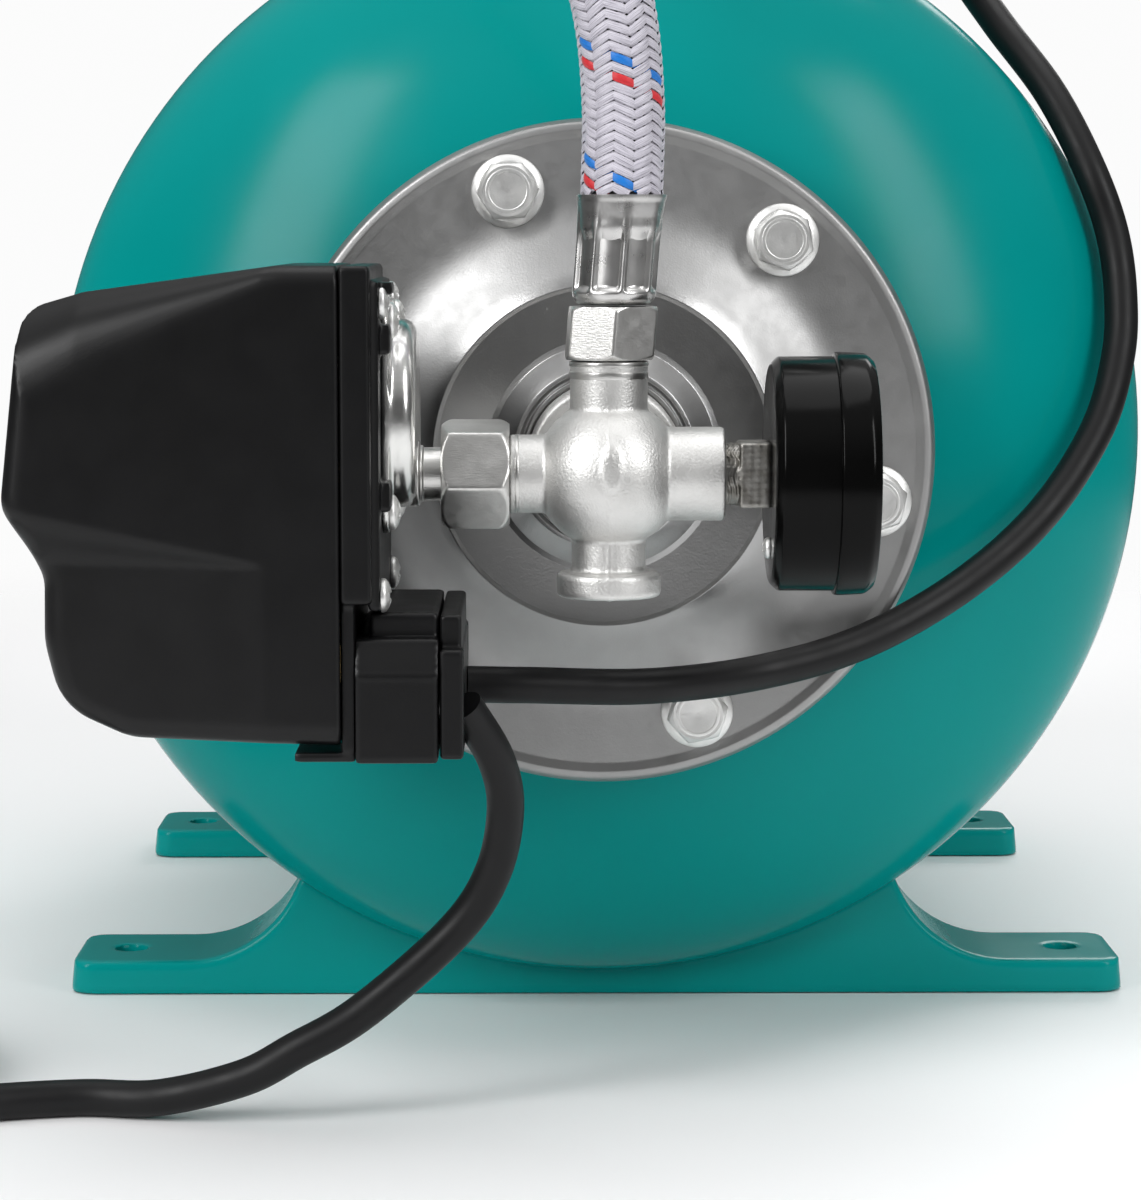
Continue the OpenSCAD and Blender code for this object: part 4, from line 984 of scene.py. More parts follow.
def make_hose_ends():
    nuts, sleeves = Shape(), Shape()
    for place in hose_end_places():
        nuts.add(*hexagon(19, NUT_LENGTH, (9.6, 9.9), depth=1.5, bore=7.5, turn=93), place)
        verts, faces = ferrule()
        verts[:, 2] += NUT_LENGTH + 0.4
        sleeves.add(verts, faces, place)
    nuts.make("hose_nut_pair", "machined_nickel", nodes=("hose_nuts",), slot="nickel_brass",
              angle=30)
    sleeves.make("hose_ferrule_pair", "crimped_steel", nodes=("hose_ferrules",), slot="stainless",
                 angle=60)


def make_switch_nut():
    verts, faces = hexagon(22, 15, (10.9, 11.1), depth=2.6, bore=8.75, edge=0.6, turn=11,
                           around=216)
    shape = Shape()
    shape.add(verts, faces, towards("+x", (-37, FIT[1], FIT[2])))
    shape.turn([[6.2, -37, 0.2], [9, -37, 0.4], [9, -33, 0], [6.2, -33, 0]], 0.3, "x",
               (0, FIT[1], FIT[2]), 64)
    shape.make("swivel_nut", "machined_nickel", nodes=("switch_nut",), slot="nickel_brass",
               angle=50)


make_fitting()
make_hose_ends()
make_switch_nut()


# ---------------------------------------------------------------- gauge

def make_gauge():
    centre = (0, FIT[1], FIT[2])
    lathe("gauge_cup", [[6, 35.5, 0.3], [24.2, 35.5, 1.6], [26, 37.4, 1.2], [26, 49.9, 0],
                        [24.5, 49.9, 0], [24.5, 37.5, 0.5], [6, 37.5, 0.3]], "x", centre,
          "black_gloss", around=144, nodes=("gauge_case",), steps=5)
    lathe("gauge_rim", [[22.6, 57.2, 0.5], [23.6, 58.3, 0.5], [25.2, 58.4, 0.8], [26.7, 56.6, 2.5],
                        [27, 51, 1.5], [26.9, 49.8, 0.6], [26.2, 49.5, 0.3], [24.6, 49.5, 0.3],
                        [24.6, 55.6, 0.3], [22.6, 55.6, 0.3]], "x", centre, "black_gloss",
          around=144, nodes=("gauge_bezel",), steps=5)
    screw = Shape()
    at = (35.5, FIT[1] - 6, FIT[2] - 16)
    cross_head(screw, towards("-x", at), 2.4, 1.8)
    screw.make("gauge_back_screw", "zinc_steel")
    make_gauge_stem()
    make_dial(centre)
    lathe("gauge_glass", [[0, 53.8, 0], [24.5, 53.8, 0.3], [24.5, 55.5, 0.3], [0, 55.5, 0]], "x",
          centre, "clear_lens", nodes=("gauge_lens",))
    pointer = Shape()
    turn = math.radians(-45)

    def aim(v):
        y, z = v[:, 0], v[:, 1]
        # the tail points down to zero, at the dial's lower left
        return np.stack([v[:, 2], FIT[1] + z * math.cos(turn) + y * math.sin(turn),
                         FIT[2] - y * math.cos(turn) + z * math.sin(turn)], 1)

    needle = [(-7, -1.5, 49.7), (-7, 1.5, 49.7), (0, 1.1, 49.7), (19.4, 0.15, 49.7),
              (19.4, -0.15, 49.7), (0, -1.1, 49.7)]
    top = [(a, b, 50.3) for a, b, _ in needle]
    sides = [[i, (i + 1) % 6, 6 + (i + 1) % 6, 6 + i] for i in range(6)]
    pointer.add(np.array(needle + top), [[5, 4, 3, 2, 1, 0], [6, 7, 8, 9, 10, 11]] + sides, aim)
    hub = [[0, 49.5, 0], [3, 49.5, 0.2], [3, 51, 0.5], [1.2, 51.4, 0.3], [0, 51.4, 0]]
    pointer.turn(hub, 0.3, "x", centre, 40)
    pin = [[0, 38, 0], [0.6, 38, 0.1], [0.6, 49.6, 0], [0, 49.6, 0]]
    pointer.turn(pin, 0.1, "x", centre, 20)
    pointer.make("gauge_needle", "black_plastic", body="pointer", nodes=("gauge_pointer",))


def make_dial(centre):
    lathe("dial_plate", [[1, 47.6, 0], [23.4, 47.6, 0.2], [23.4, 48.4, 0.2], [1, 48.4, 0]], "x",
          centre, "dial_face", nodes=("gauge_dial",))
    marks = Shape()
    for i in range(51):
        a = math.radians(225 - 270 * i / 50)
        long = 3.6 if i % 10 == 0 else (2.6 if i % 5 == 0 else 1.7)
        wide = 0.32 if i % 10 == 0 else 0.16
        u = np.array([0, math.cos(a), math.sin(a)])
        v = np.array([0, -math.sin(a), math.cos(a)])
        ends = [(20.6 - long, -wide), (20.6, -wide), (20.6, wide), (20.6 - long, wide)]
        flat = [np.array(centre) + u * r + v * w for r, w in ends]
        low = [p + [48.42, 0, 0] for p in flat]
        high = [p + [48.5, 0, 0] for p in flat]
        marks.add(np.array(low + high), [[3, 2, 1, 0], [4, 5, 6, 7]]
                  + [[k, (k + 1) % 4, 4 + (k + 1) % 4, 4 + k] for k in range(4)])
    marks.make("dial_marks", "black_gloss")
    for number in range(0, 11, 2):
        a = math.radians(225 - 270 * number / 10)
        curve = bpy.data.curves.new("dial_number", "FONT")
        curve.body = str(number)
        curve.size = 4.2 * MM
        curve.extrude = 0.04 * MM
        curve.align_x = "CENTER"
        curve.align_y = "CENTER"
        text = bpy.data.objects.new("dial_number_%d" % number, curve)
        text.location = [48.46 * MM, (centre[1] + 13.6 * math.cos(a)) * MM,
                         (centre[2] + 13.6 * math.sin(a)) * MM]
        text.rotation_euler = (math.pi / 2, 0, math.pi / 2)
        scene.collection.objects.link(text)
        curve.materials.append(MATERIALS["black_gloss"])
        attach(text, "frame")


def make_gauge_stem():
    y0, z0 = FIT[1], FIT[2]

    def field(x, y, z):
        body = box_field(x, y, z, (28.7, y0 - 7.15, z0 - 7.15), (35.6, y0 + 7.15, z0 + 7.15), 0.5)
        wrap = 0.25 * np.sin((x + 0.5 * np.sin((y + z) * 0.9)) * 5.2)
        neck = rod_field(y - y0, z - z0, x, 6.9, 16, 29.5, 0.3) + wrap
        shank = rod_field(y - y0, z - z0, x, 5.9, 35, 37.6, 0.2)
        block = box_field(x, y, z, (37.5, y0 - 5, z0 - 22), (39.8, y0 + 5, z0 + 5), 0.4)
        holder = box_field(x, y, z, (37.5, y0 - 4, z0 - 22), (46, y0 + 4, z0 - 14), 0.5)
        scratch = 0.07 * np.sin(3.1 * y + 2.2 * z + 1.7 * x) * np.sin(2.3 * z - 1.9 * x)
        return union(body + scratch, neck, shank, block, holder)

    carved("gauge_socket", field, (16, y0 - 7.4, z0 - 22), (46, y0 + 7.4, z0 + 7.4), 0.4,
           "stained_brass", nodes=("gauge_stem",), slot="nickel_brass")


def cross_head(shape, place, radius, height):
    """Pan head with a cross recess, standing on z = 0."""
    def field(x, y, z):
        r = off_axis(x, y)
        head = off_axis(r, z - height + radius * 1.5) - radius * 1.5
        head = soft_max(head, r - radius, 0.35)
        head = soft_max(head, -z, 0.1)
        slot = np.minimum(np.maximum(np.abs(x) - 0.17 * radius, np.abs(y) - 0.58 * radius),
                          np.maximum(np.abs(y) - 0.17 * radius, np.abs(x) - 0.58 * radius))
        depth = height * 0.35 + 0.5 * r
        return soft_max(head, -np.maximum(slot, depth - z), 0.15)
    shape.add(*solid(field, (-radius, -radius, 0), (radius, radius, height), 0.22), place)


make_gauge()


# ---------------------------------------------------------------- pressure switch

SWITCH_Y = (-282, -218)
PLATE_X = -58
DISH_Z = 160.5


def switch_cover_field(x, y, z):
    """Distance to the cover's outside. Below a slanting step its front and back draw in
    towards the far end, and its upper edges grow rounder that way."""
    outline = rounded([
        (-40, 193.3), (-71, 193.3, 6), (-114, 187.4, 14), (-126, 184.6, 7), (-130.6, 142, 9),
        (-122.4, 126, 9), (-122.6, 112, 20), (-119, 98, 22), (-104, 91.6, 16), (-40, 90)], 1, 8)
    u, w = x[:, 0, :], z[:, 0, :]
    side = outline_field(u, w, outline)[:, None, :]
    away = np.clip((-74 - x) / 52, 0, 1)
    step = 8 * away * ease((129.5 + 12 * away - z) / (12 * away + 0.6))
    wall = np.maximum(SWITCH_Y[0] + step - y, y - SWITCH_Y[1] + step)
    top = (z - np.interp(x, [-131, -126, -114, -71, -40], [183, 184, 187.4, 193.3, 193.3]))
    return np.maximum(soft_max(side, wall, 5), soft_max(top, wall, 5 + 19 * away))


def make_switch_cover():
    shell = 2.5

    def field(x, y, z):
        outside = switch_cover_field(x, y, z)
        return soft_max(np.maximum(outside, x - PLATE_X + 0.08), -(outside + shell), 0.5)

    carved("cover_shell", field, (-131, SWITCH_Y[0], 90), (PLATE_X, SWITCH_Y[1], 193.5), 0.75,
           "black_plastic", nodes=("switch_cover",), angle=50)


def several_boxes(boxes, k=0.4):
    """Distance to a union of rounded boxes, each (lowest corner, highest corner, radius)."""
    def field(x, y, z):
        d = box_field(x, y, z, *boxes[0])
        for box in boxes[1:]:
            d = soft_min(d, box_field(x, y, z, *box), k)
        return d
    return field


def make_switch_base():
    y0, y1 = SWITCH_Y
    boxes = [((PLATE_X, y0 + 0.2, 121), (-51.2, y1 - 0.2, 193.2), 1.0),
             ((PLATE_X, y0 + 1.5, 89), (-55, y1 - 1.5, 122), 0.6),
             ((-52, y0 + 3, 119.4), (-49.5, y1 - 3, 190), 0.6),
             ((-68, y0 + 2, 87), (-55, y0 + 20, 89), 0.4),
             ((-50.5, y0 + 5, 187), (-46.6, y0 + 15, 189.6), 0.4)]
    for s in (-1, 1):
        ear = FIT[1] + s * 25.5
        boxes.append(((-69, ear - 1.5, 130), (-57, ear + 1.5, 138), 0.5))
        for z in (143.8, 177.4):
            lug = FIT[1] + s * 22
            boxes.append(((-51, lug - 5, z - 3.2), (-47.2, lug + 5, z + 3.2), 0.5))
    blocks = several_boxes(boxes)

    def field(x, y, z):
        d = blocks(x, y, z)
        plunger = off_axis(y - FIT[1], z - FIT[2]) - 3.15
        cup = np.maximum(off_axis(y - FIT[1], z - DISH_Z) - 15, -52 - x)
        wires = np.maximum(off_axis(y - FIT[1], z - 104) - 8, x + 51)
        pivot = off_axis(x + 66, z - 134) - 1.55
        return np.maximum(d, -union(plunger, cup, wires, pivot))

    carved("base_plate", field, (-69, y0, 87), (-46, y1, 193.4), 0.7, "black_plastic",
           nodes=("switch_base",), angle=45)


def make_switch_dish():
    centre = (0, FIT[1], DISH_Z)

    def field(x, y, z):
        v, w = y - FIT[1], z - DISH_Z
        plate = box_field(x, y, z, (-49.5, FIT[1] - 21, DISH_Z - 25.4),
                          (-47.9, FIT[1] + 21, DISH_Z + 25.4), 0.5)
        corner = box_field(x * 0, y, z, (-30, FIT[1] - 21, DISH_Z - 25.4),
                           (30, FIT[1] + 21, DISH_Z + 25.4), 6)
        flange = soft_max(plate, corner, 0.3)
        cup = np.maximum(rod_field(v, w, x, 20.8, -60, -42.2, 3.4), -48.4 - x)
        inside = rod_field(v, w, x, 19, -60, -44, 2.4)
        return np.maximum(soft_min(flange, cup, 1.6), -inside)

    carved("dish_pressing", field, (-49.5, FIT[1] - 21, DISH_Z - 25.4),
           (-42, FIT[1] + 21, DISH_Z + 25.4), 0.5, "dish_zinc", nodes=("switch_dish",),
           slot="zinc_steel", angle=60)
    spigot = [[3, -44.5], [7.2, -44.5, 0.3], [7.2, -42.0, 0.5], [6.3, -41.6, 0.3],
              [6.3, -41.2, 0.2], [5.9, -40.9, 0.2], [5.9, -37.5, 0.3], [6.0, -36.5], [6.0, -34],
              [9.4, -33.4, 0.3], [9.4, -30.6, 0.3], [3, -30.6]]
    lathe("dish_spigot", spigot, "x", (0, FIT[1], FIT[2]), "machined_nickel", around=96,
          radius=0.2, slot="nickel_brass")


def make_switch_screws():
    shape = Shape()
    turn = 20
    for v in (-16, 16):
        for w in (-20.8, 20.8):
            cross_head(shape, towards("+x", (-47.9, FIT[1] + v, DISH_Z + w), turn), 3.9, 2.5)
            turn += 37
    for y in (-275, -225):
        for z in (122.6, 185.5):
            cross_head(shape, towards("+x", (-49.5, y, z), turn), 3.7, 2.4)
            turn += 53
    for y, z, r, end in ((-246, 170, 3, -114), (-266, 170, 2, -104)):
        shape.turn([[0, end], [r, end, 0.4], [r, PLATE_X], [0, PLATE_X]], 0.3, "x", (0, y, z), 32)
        shape.add(*hexagon(3.4 * r, 2.6, depth=0.5, around=60), towards("+x", (end + 1, y, z)))
    shape.make("switch_screw_set", "zinc_steel", nodes=("switch_screws",))


def make_gland():
    y0, y1 = SWITCH_Y
    low = several_boxes([((-55, y0 + 0.6, 86.8), (-37.2, y1 - 0.6, 106.5), 0.9),
                         ((-52, y0 + 7, 100), (-37.2, y1 - 7, 118.8), 0.9),
                         ((-52, y0 + 3.4, 100), (-37.2, y1 - 3.4, 113.4), 0.5)], 0.3)

    def block(x, y, z):
        d = low(x, y, z)
        slope = common(np.abs(y - FIT[1]) * 0.93 + (z - 106) * 0.36 - 31.4 * 0.93,
                       z - 113.4, -55 - x, x + 37.2)
        d = soft_min(d, np.maximum(slope, 105.5 - z), 0.4)
        wires = nearest_axis(y, z, LEAD_HOLES_Y, [LEAD_HOLES_Z]) - 5
        return np.maximum(d, -wires)

    plate = several_boxes([((-36.8, y0 + 1.4, 87.6), (-31.8, y1 - 1.4, 111.3), 0.8),
                           ((-36.8, y0 + 6, 100), (-32.2, y1 - 6, 118.4), 0.8)], 0.2)

    def cheek(x, y, z):
        wires = nearest_axis(y, z, LEAD_HOLES_Y, [LEAD_HOLES_Z]) - 4.6
        sink = np.maximum(nearest_axis(y, z, (-275, -225), [108]) - 3.2, -33.6 - x)
        return np.maximum(plate(x, y, z), -np.minimum(wires, sink))

    carved("gland_body", block, (-55, y0, 86.8), (-37, y1, 119), 0.6, "black_plastic",
           nodes=("gland_block",), angle=40)
    carved("gland_cheek", cheek, (-37, y0, 87.6), (-31.8, y1, 118.5), 0.45, "black_plastic",
           nodes=("gland_plate",), angle=40)


make_switch_cover()
make_switch_base()
make_switch_dish()
make_switch_screws()
make_gland()


# ---------------------------------------------------------------- pump

CASING_Y = (-150, -40)
CASING_R = 75
LIP_R = 84
BOLT_PCR = 80
PLUG_PLACES = (-52, 52)


def neck_on_cylinder(radius, flare, wall, bore, top):
    """Upright neck whose foot spreads onto a cylinder of radius wall lying along Y."""
    around = 96
    a = np.arange(around) * TAU / around
    rings = []
    for out, up in ((flare, -0.5), (0.72 * flare, 0.15 * flare), (0.4 * flare, 0.45 * flare),
                    (0.15 * flare, 0.85 * flare), (0, 1.4 * flare)):
        r = radius + out
        x = r * np.cos(a)
        foot = PUMP_Z + np.sqrt(wall ** 2 - np.clip(x, -wall + 1, wall - 1) ** 2)
        rings.append(ring(a, r, foot + up, centre=(0, OUTLET_Y)))
    for r, z in ((radius, top - 7), (radius + 1.5, top - 6.2), (radius + 2, top - 5.4),
                 (radius + 2, top - 0.8), (radius + 1.2, top), (bore + 0.8, top),
                 (bore, top - 0.8), (bore, top - 12), (bore, PUMP_Z + wall - 8),
                 (radius - 1, PUMP_Z + wall - 8)):
        rings.append(ring(a, r, z, centre=(0, OUTLET_Y)))
    return np.concatenate(rings), ring_faces(len(rings), around, True)


def make_casing():
    y0, y1 = CASING_Y
    shape = Shape()
    profile = [
        [20.5, y0 - 22, 0.8], [20.5, y0 - 18.5, 0.3], [19.6, y0 - 18, 0.3], [19.6, y0 - 3, 1],
        [23, y0 + 0.6, 3], [44, y0, 5], [58, y0 + 3, 7], [68, y0 + 9, 8],
        [CASING_R - 0.6, y0 + 18, 7], [CASING_R, y0 + 26, 4], [CASING_R, y0 + 32, 1.5],
        [CASING_R - 1.4, y0 + 34, 1.5], [CASING_R - 1.4, y0 + 38, 1.5], [CASING_R, y0 + 40, 1.5],
        [CASING_R, y1 - 12, 2], [CASING_R - 1.2, y1 - 10, 1.5], [CASING_R - 1.2, y1 - 6, 1],
        [CASING_R, y1 - 2, 2.5], [CASING_R + 2.5, y1, 2.5], [LIP_R - 0.2, y1, 0.8],
        [LIP_R - 0.2, y1 + 3, 0.6], [CASING_R - 2, y1 + 3, 0.4], [CASING_R - 3.6, y0 + 26, 3],
        [66, y0 + 12, 5], [44, y0 + 3, 3], [15.15, y0 + 3, 0.5], [15.15, y0 - 22, 0.8]]
    shape.turn(profile, 0.6, "y", (0, 0, PUMP_Z), 160, steps=5)
    shape.add(*neck_on_cylinder(19, 5, CASING_R, 15.15, OUTLET_TOP))
    for s in PLUG_PLACES:
        boss = [[6.6, y0 - 7, 0.3], [10.4, y0 - 7, 0.8], [10.8, y0 - 1, 1], [13.4, y0 + 2.4, 1],
                [13.4, y0 + 6, 0], [6.6, y0 + 6, 0]]
        shape.turn(boss, 0.4, "y", (0, 0, PUMP_Z + s), 64)
    shape.make("casing_pressing", "pressed_stainless", nodes=("pump_casing",), slot="stainless",
               angle=42)


def make_casing_fixings():
    shape = Shape()
    y1 = CASING_Y[1]
    for i in range(6):
        a = math.radians(-30 - 60 * i)
        at = (BOLT_PCR * math.cos(a), y1, PUMP_Z + BOLT_PCR * math.sin(a))
        place = towards("-y", at)
        shape.turn([[2.6, 0], [5.2, 0, 0.3], [5.2, 0.9, 0.3], [2.6, 0.9]], 0.2, "z", (0, 0, 0), 40,
                   place)
        shape.add(*hexagon(8, 4, (None, 3.9), depth=0.8, turn=11 * i, around=72, lift=0.8), place)
        shape.add(*hexagon(8, 4, depth=0.6, turn=7 * i, around=72),
                  towards("+y", (at[0], y1 + 11, at[2])))
        shape.turn([[0, -17.5, 0], [2.5, -17.5, 0.5], [2.5, 1, 0], [0, 1, 0]], 0.2, "z",
                   (0, 0, 0), 24, place)
    shape.make("casing_bolt_set", "zinc_steel", nodes=("casing_bolts",))
    plugs = Shape()
    for s in PLUG_PLACES:
        place = towards("-y", (0, CASING_Y[0] - 7, PUMP_Z + s))
        plugs.turn([[5, -11], [6.5, -11, 0.4], [6.5, 0], [5, 0]], 0.2, "z", (0, 0, 0), 40, place)
        plugs.turn([[0, 0, 0], [11, 0, 0.4], [11, 1.6, 0.6], [0, 1.6, 0]], 0.3, "z", (0, 0, 0), 64,
                   place)
        plugs.add(*hexagon(17, 6.4, (None, 8.4), depth=1.2, turn=8, around=96, lift=1.6), place)
    plugs.make("casing_plug_set", "machined_nickel", nodes=("casing_plugs",),
               slot="nickel_brass")


def make_elbow():
    c, s = math.cos(ELBOW_TURN), math.sin(ELBOW_TURN)

    def field(x, y, z):
        u, v, w = x - ELBOW[0], y - ELBOW[1], z - ELBOW[2]
        along = u * s - v * c
        across = u * c + v * s
        ball = np.sqrt(u * u + v * v + w * w) - 12
        low = rod_field(u, v, z, 11, OUTLET_TOP + 6, ELBOW[2], 0.4)
        arm = rod_field(across, w, along, 10, 0, 29.6, 0.7)
        tip = rod_field(across, w, along, 7.4, 0, 39, 0.5)
        ring = rod_field(across, w, along, 11.2, 24, 29.6, 0.7)
        tip = tip + 0.22 * np.cos(TAU * along / 1.6) * (along > 30.5)
        body = soft_min(soft_min(ball, low, 2), arm, 2)
        body = np.minimum(soft_min(body, ring, 0.8), tip)
        bore = np.minimum(np.maximum(off_axis(across, w) - 5, -along),
                          np.maximum(off_axis(u, v) - 6.5, w))
        seam = 0.2 * np.exp(-(across / 0.35) ** 2) * (along > -14)
        return soft_max(body - seam, -bore, 0.4)

    carved("elbow_casting", field, (-33, -141, OUTLET_TOP + 6), (13, -91, 512), 0.6,
           "nickel_brass", nodes=("outlet_elbow",))
    base = Shape()
    base.add(*turned(thread(15, OUTLET_TOP - 12, OUTLET_TOP + 1, 2.3, 6.6), "z",
                     (0, OUTLET_Y, 0), 72))
    base.add(*hexagon(34, 9, (17.8, 17.6), depth=2, bore=6.6, turn=12),
             towards("+z", (0, OUTLET_Y, OUTLET_TOP + 0.2)))
    base.make("elbow_hexagon", "machined_nickel", slot="nickel_brass")


# ---------------------------------------------------------------- motor

BRACKET_Y = (-37, -14)
MOTOR_Y = (-14, 134)
MOTOR_R = 60
COVER_END = 190
BOX_LOW, BOX_HIGH, LID_TOP = 452, 486, 493
LID_SCREWS = (-33, 33), (13, 107)
FOOT_SCREWS = (-38, 38), (22, 78)


def clear_of_motor(x, z):
    """Positive inside the motor's housing, with a hair of room round it."""
    return MOTOR_R + 0.05 - off_axis(x, z - PUMP_Z)


def make_bracket():
    y0, y1 = BRACKET_Y
    around = 360
    profile = np.array(rounded([
        [20, y0 - 0.8, 0.4], [24, y0 - 0.2, 0.4], [LIP_R, y0, 0.8], [LIP_R, y0 + 7.5, 1.6],
        [74, y0 + 10.5, 4], [MOTOR_R + 3, y1 - 3, 3], [MOTOR_R + 1.6, y1, 0.8],
        [21, y1, 0.4], [21, y0 + 18, 0.4], [20, y0 + 3, 0.4]], 0.6, 5))
    a = np.arange(around) * TAU / around
    ribs = 12
    rib = np.exp(-(((a * ribs / TAU + 0.5) % 1 - 0.5) / 0.055) ** 2)
    rings = []
    for r, y in profile:
        # ribs bridge the concave slope between the bolting ring and the motor
        line = np.interp(y, [y0 + 7.5, y1 - 1], [LIP_R - 3, MOTOR_R + 3])
        lift = max(0, line - r) if y > y0 + 7 and r > MOTOR_R else 0
        rings.append(ring(a, r + lift * rib, y, "y", (0, PUMP_Z)))
    shape = Shape()
    shape.add(np.concatenate(rings), ring_faces(len(rings), around, True))
    seat = [[10, -34, 0.4], [16.05, -34, 0.3], [16.05, -18.5, 0.3], [21.4, -18.5, 0.3],
            [21.4, -14.2, 0.3], [16.2, -14.2, 0.3], [16.2, -30, 0.2], [10, -30, 0.3]]
    shape.turn(seat, 0.3, "y", (0, 0, PUMP_Z), 72)
    shape.make("bracket_casting", "cast_aluminium", nodes=("motor_bracket",), angle=40)


def make_motor_housing():
    y0, y1 = MOTOR_Y
    fins = 36
    per_fin = 20
    around = fins * per_fin
    a = np.arange(around) * TAU / around
    across = ((a * fins / TAU + 0.5) % 1 - 0.5) * TAU / fins * MOTOR_R
    fin = ease((1.5 - np.abs(across)) / 0.75)
    kept = np.abs(np.sin(np.round(a * fins / TAU) * TAU / fins)) < 0.8
    stations = [(y0, 0.4, 0), (y0 + 0.6, 0, 0), (y0 + 5, 0, 0), (y0 + 6, 0, 0.12),
                (y0 + 7.5, 0, 0.7), (y0 + 9.5, 0, 0.97), (y0 + 11, 0, 1)]
    stations += [(y0 + 11 + k * (y1 - y0 - 22) / 6, 0, 1) for k in range(1, 6)]
    stations += [(y1 - 11, 0, 1), (y1 - 9.5, 0, 0.97), (y1 - 7.5, 0, 0.7), (y1 - 6, 0, 0.12),
                 (y1 - 5, 0, 0), (y1 - 1.4, 0, 0), (y1 - 0.4, 0.5, 0), (y1, 1.4, 0)]
    rings = []
    for y, inset, height in stations:
        r = MOTOR_R - inset + 4.9 * fin * kept * height
        rings.append(ring(a, r, y, "y", (0, PUMP_Z)))
    for r, y in ((40, y1), (39, y1 - 1), (24, y1 - 1), (23, y1), (16.1, y1), (16.1, y1 - 11.5),
                 (20, y1 - 11.5), (20, y1 - 5), (56, y1 - 5), (56, y0)):
        rings.append(ring(a, r, y, "y", (0, PUMP_Z)))
    shape = Shape()
    shape.add(np.concatenate(rings), ring_faces(len(rings), around, True))
    shape.make("motor_body", "teal_paint", nodes=("motor_housing",), angle=35)


def make_fan_cover():
    r0 = MOTOR_R + 7
    y0, y1 = MOTOR_Y[1] - 12, COVER_END
    t = 1.8

    def field(x, y, z):
        w = z - PUMP_Z
        r = off_axis(x, w)
        outside = rod_field(x, w, y, r0, y0 - 20, y1, 7)
        inside = rod_field(x, w, y, r0 - t, y0 - 30, y1 - t, 5.6)
        outside = outside + 0.42 * np.exp(-(y - y0 - 18) ** 2)  # a groove round the cowl
        skin = common(outside, -inside, y0 - y)
        turn = np.arctan2(w, x)
        cuts = 9.0
        for row, middle in enumerate((20, 29.5, 39, 48.5)):
            slots = 6 + 4 * row
            part = ((turn * slots / TAU + 0.5 * (row % 2)) % 1 - 0.5) * TAU / slots
            half = 0.5 * TAU / slots * middle - 2.6
            slot = np.sqrt(np.maximum(np.abs(part * middle) - half + 2.2, 0) ** 2
                           + (r - middle) ** 2) - 2.4
            cuts = np.minimum(cuts, slot)
        cuts = np.maximum(cuts, y1 - 8 - y)
        hub = np.maximum(r - 12.5, np.abs(y - y1 + 0.9) - 0.9)
        return soft_max(np.minimum(skin, hub), -cuts, 0.4)

    carved("fan_cowl", field, (-r0, y0, PUMP_Z - r0), (r0, y1, PUMP_Z + r0), 0.85,
           "black_gloss", nodes=("fan_cover",), angle=50)
    screws = Shape()
    for a in (45, 135, 225, 315):
        c, s = math.cos(math.radians(a)), math.sin(math.radians(a))
        head, faces = solid(lambda x, y, z: np.maximum(
            rod_field(x, y, z, 3.2, -1, 1.8, 0.9),
            -np.maximum(np.abs(x) - 0.45, 1.0 - z)), (-3.2, -3.2, -1), (3.2, 3.2, 1.8), 0.3)
        out = np.array([c, 0, s])
        along = np.array([-s, 0, c])
        at = np.array([0, y0 + 5, PUMP_Z]) + out * (r0 - 0.4)
        screws.add(head[:, :1] * along + head[:, 1:2] * np.array([0, 1, 0])
                   + head[:, 2:] * out + at, faces)
    screws.make("cowl_screws", "zinc_steel")


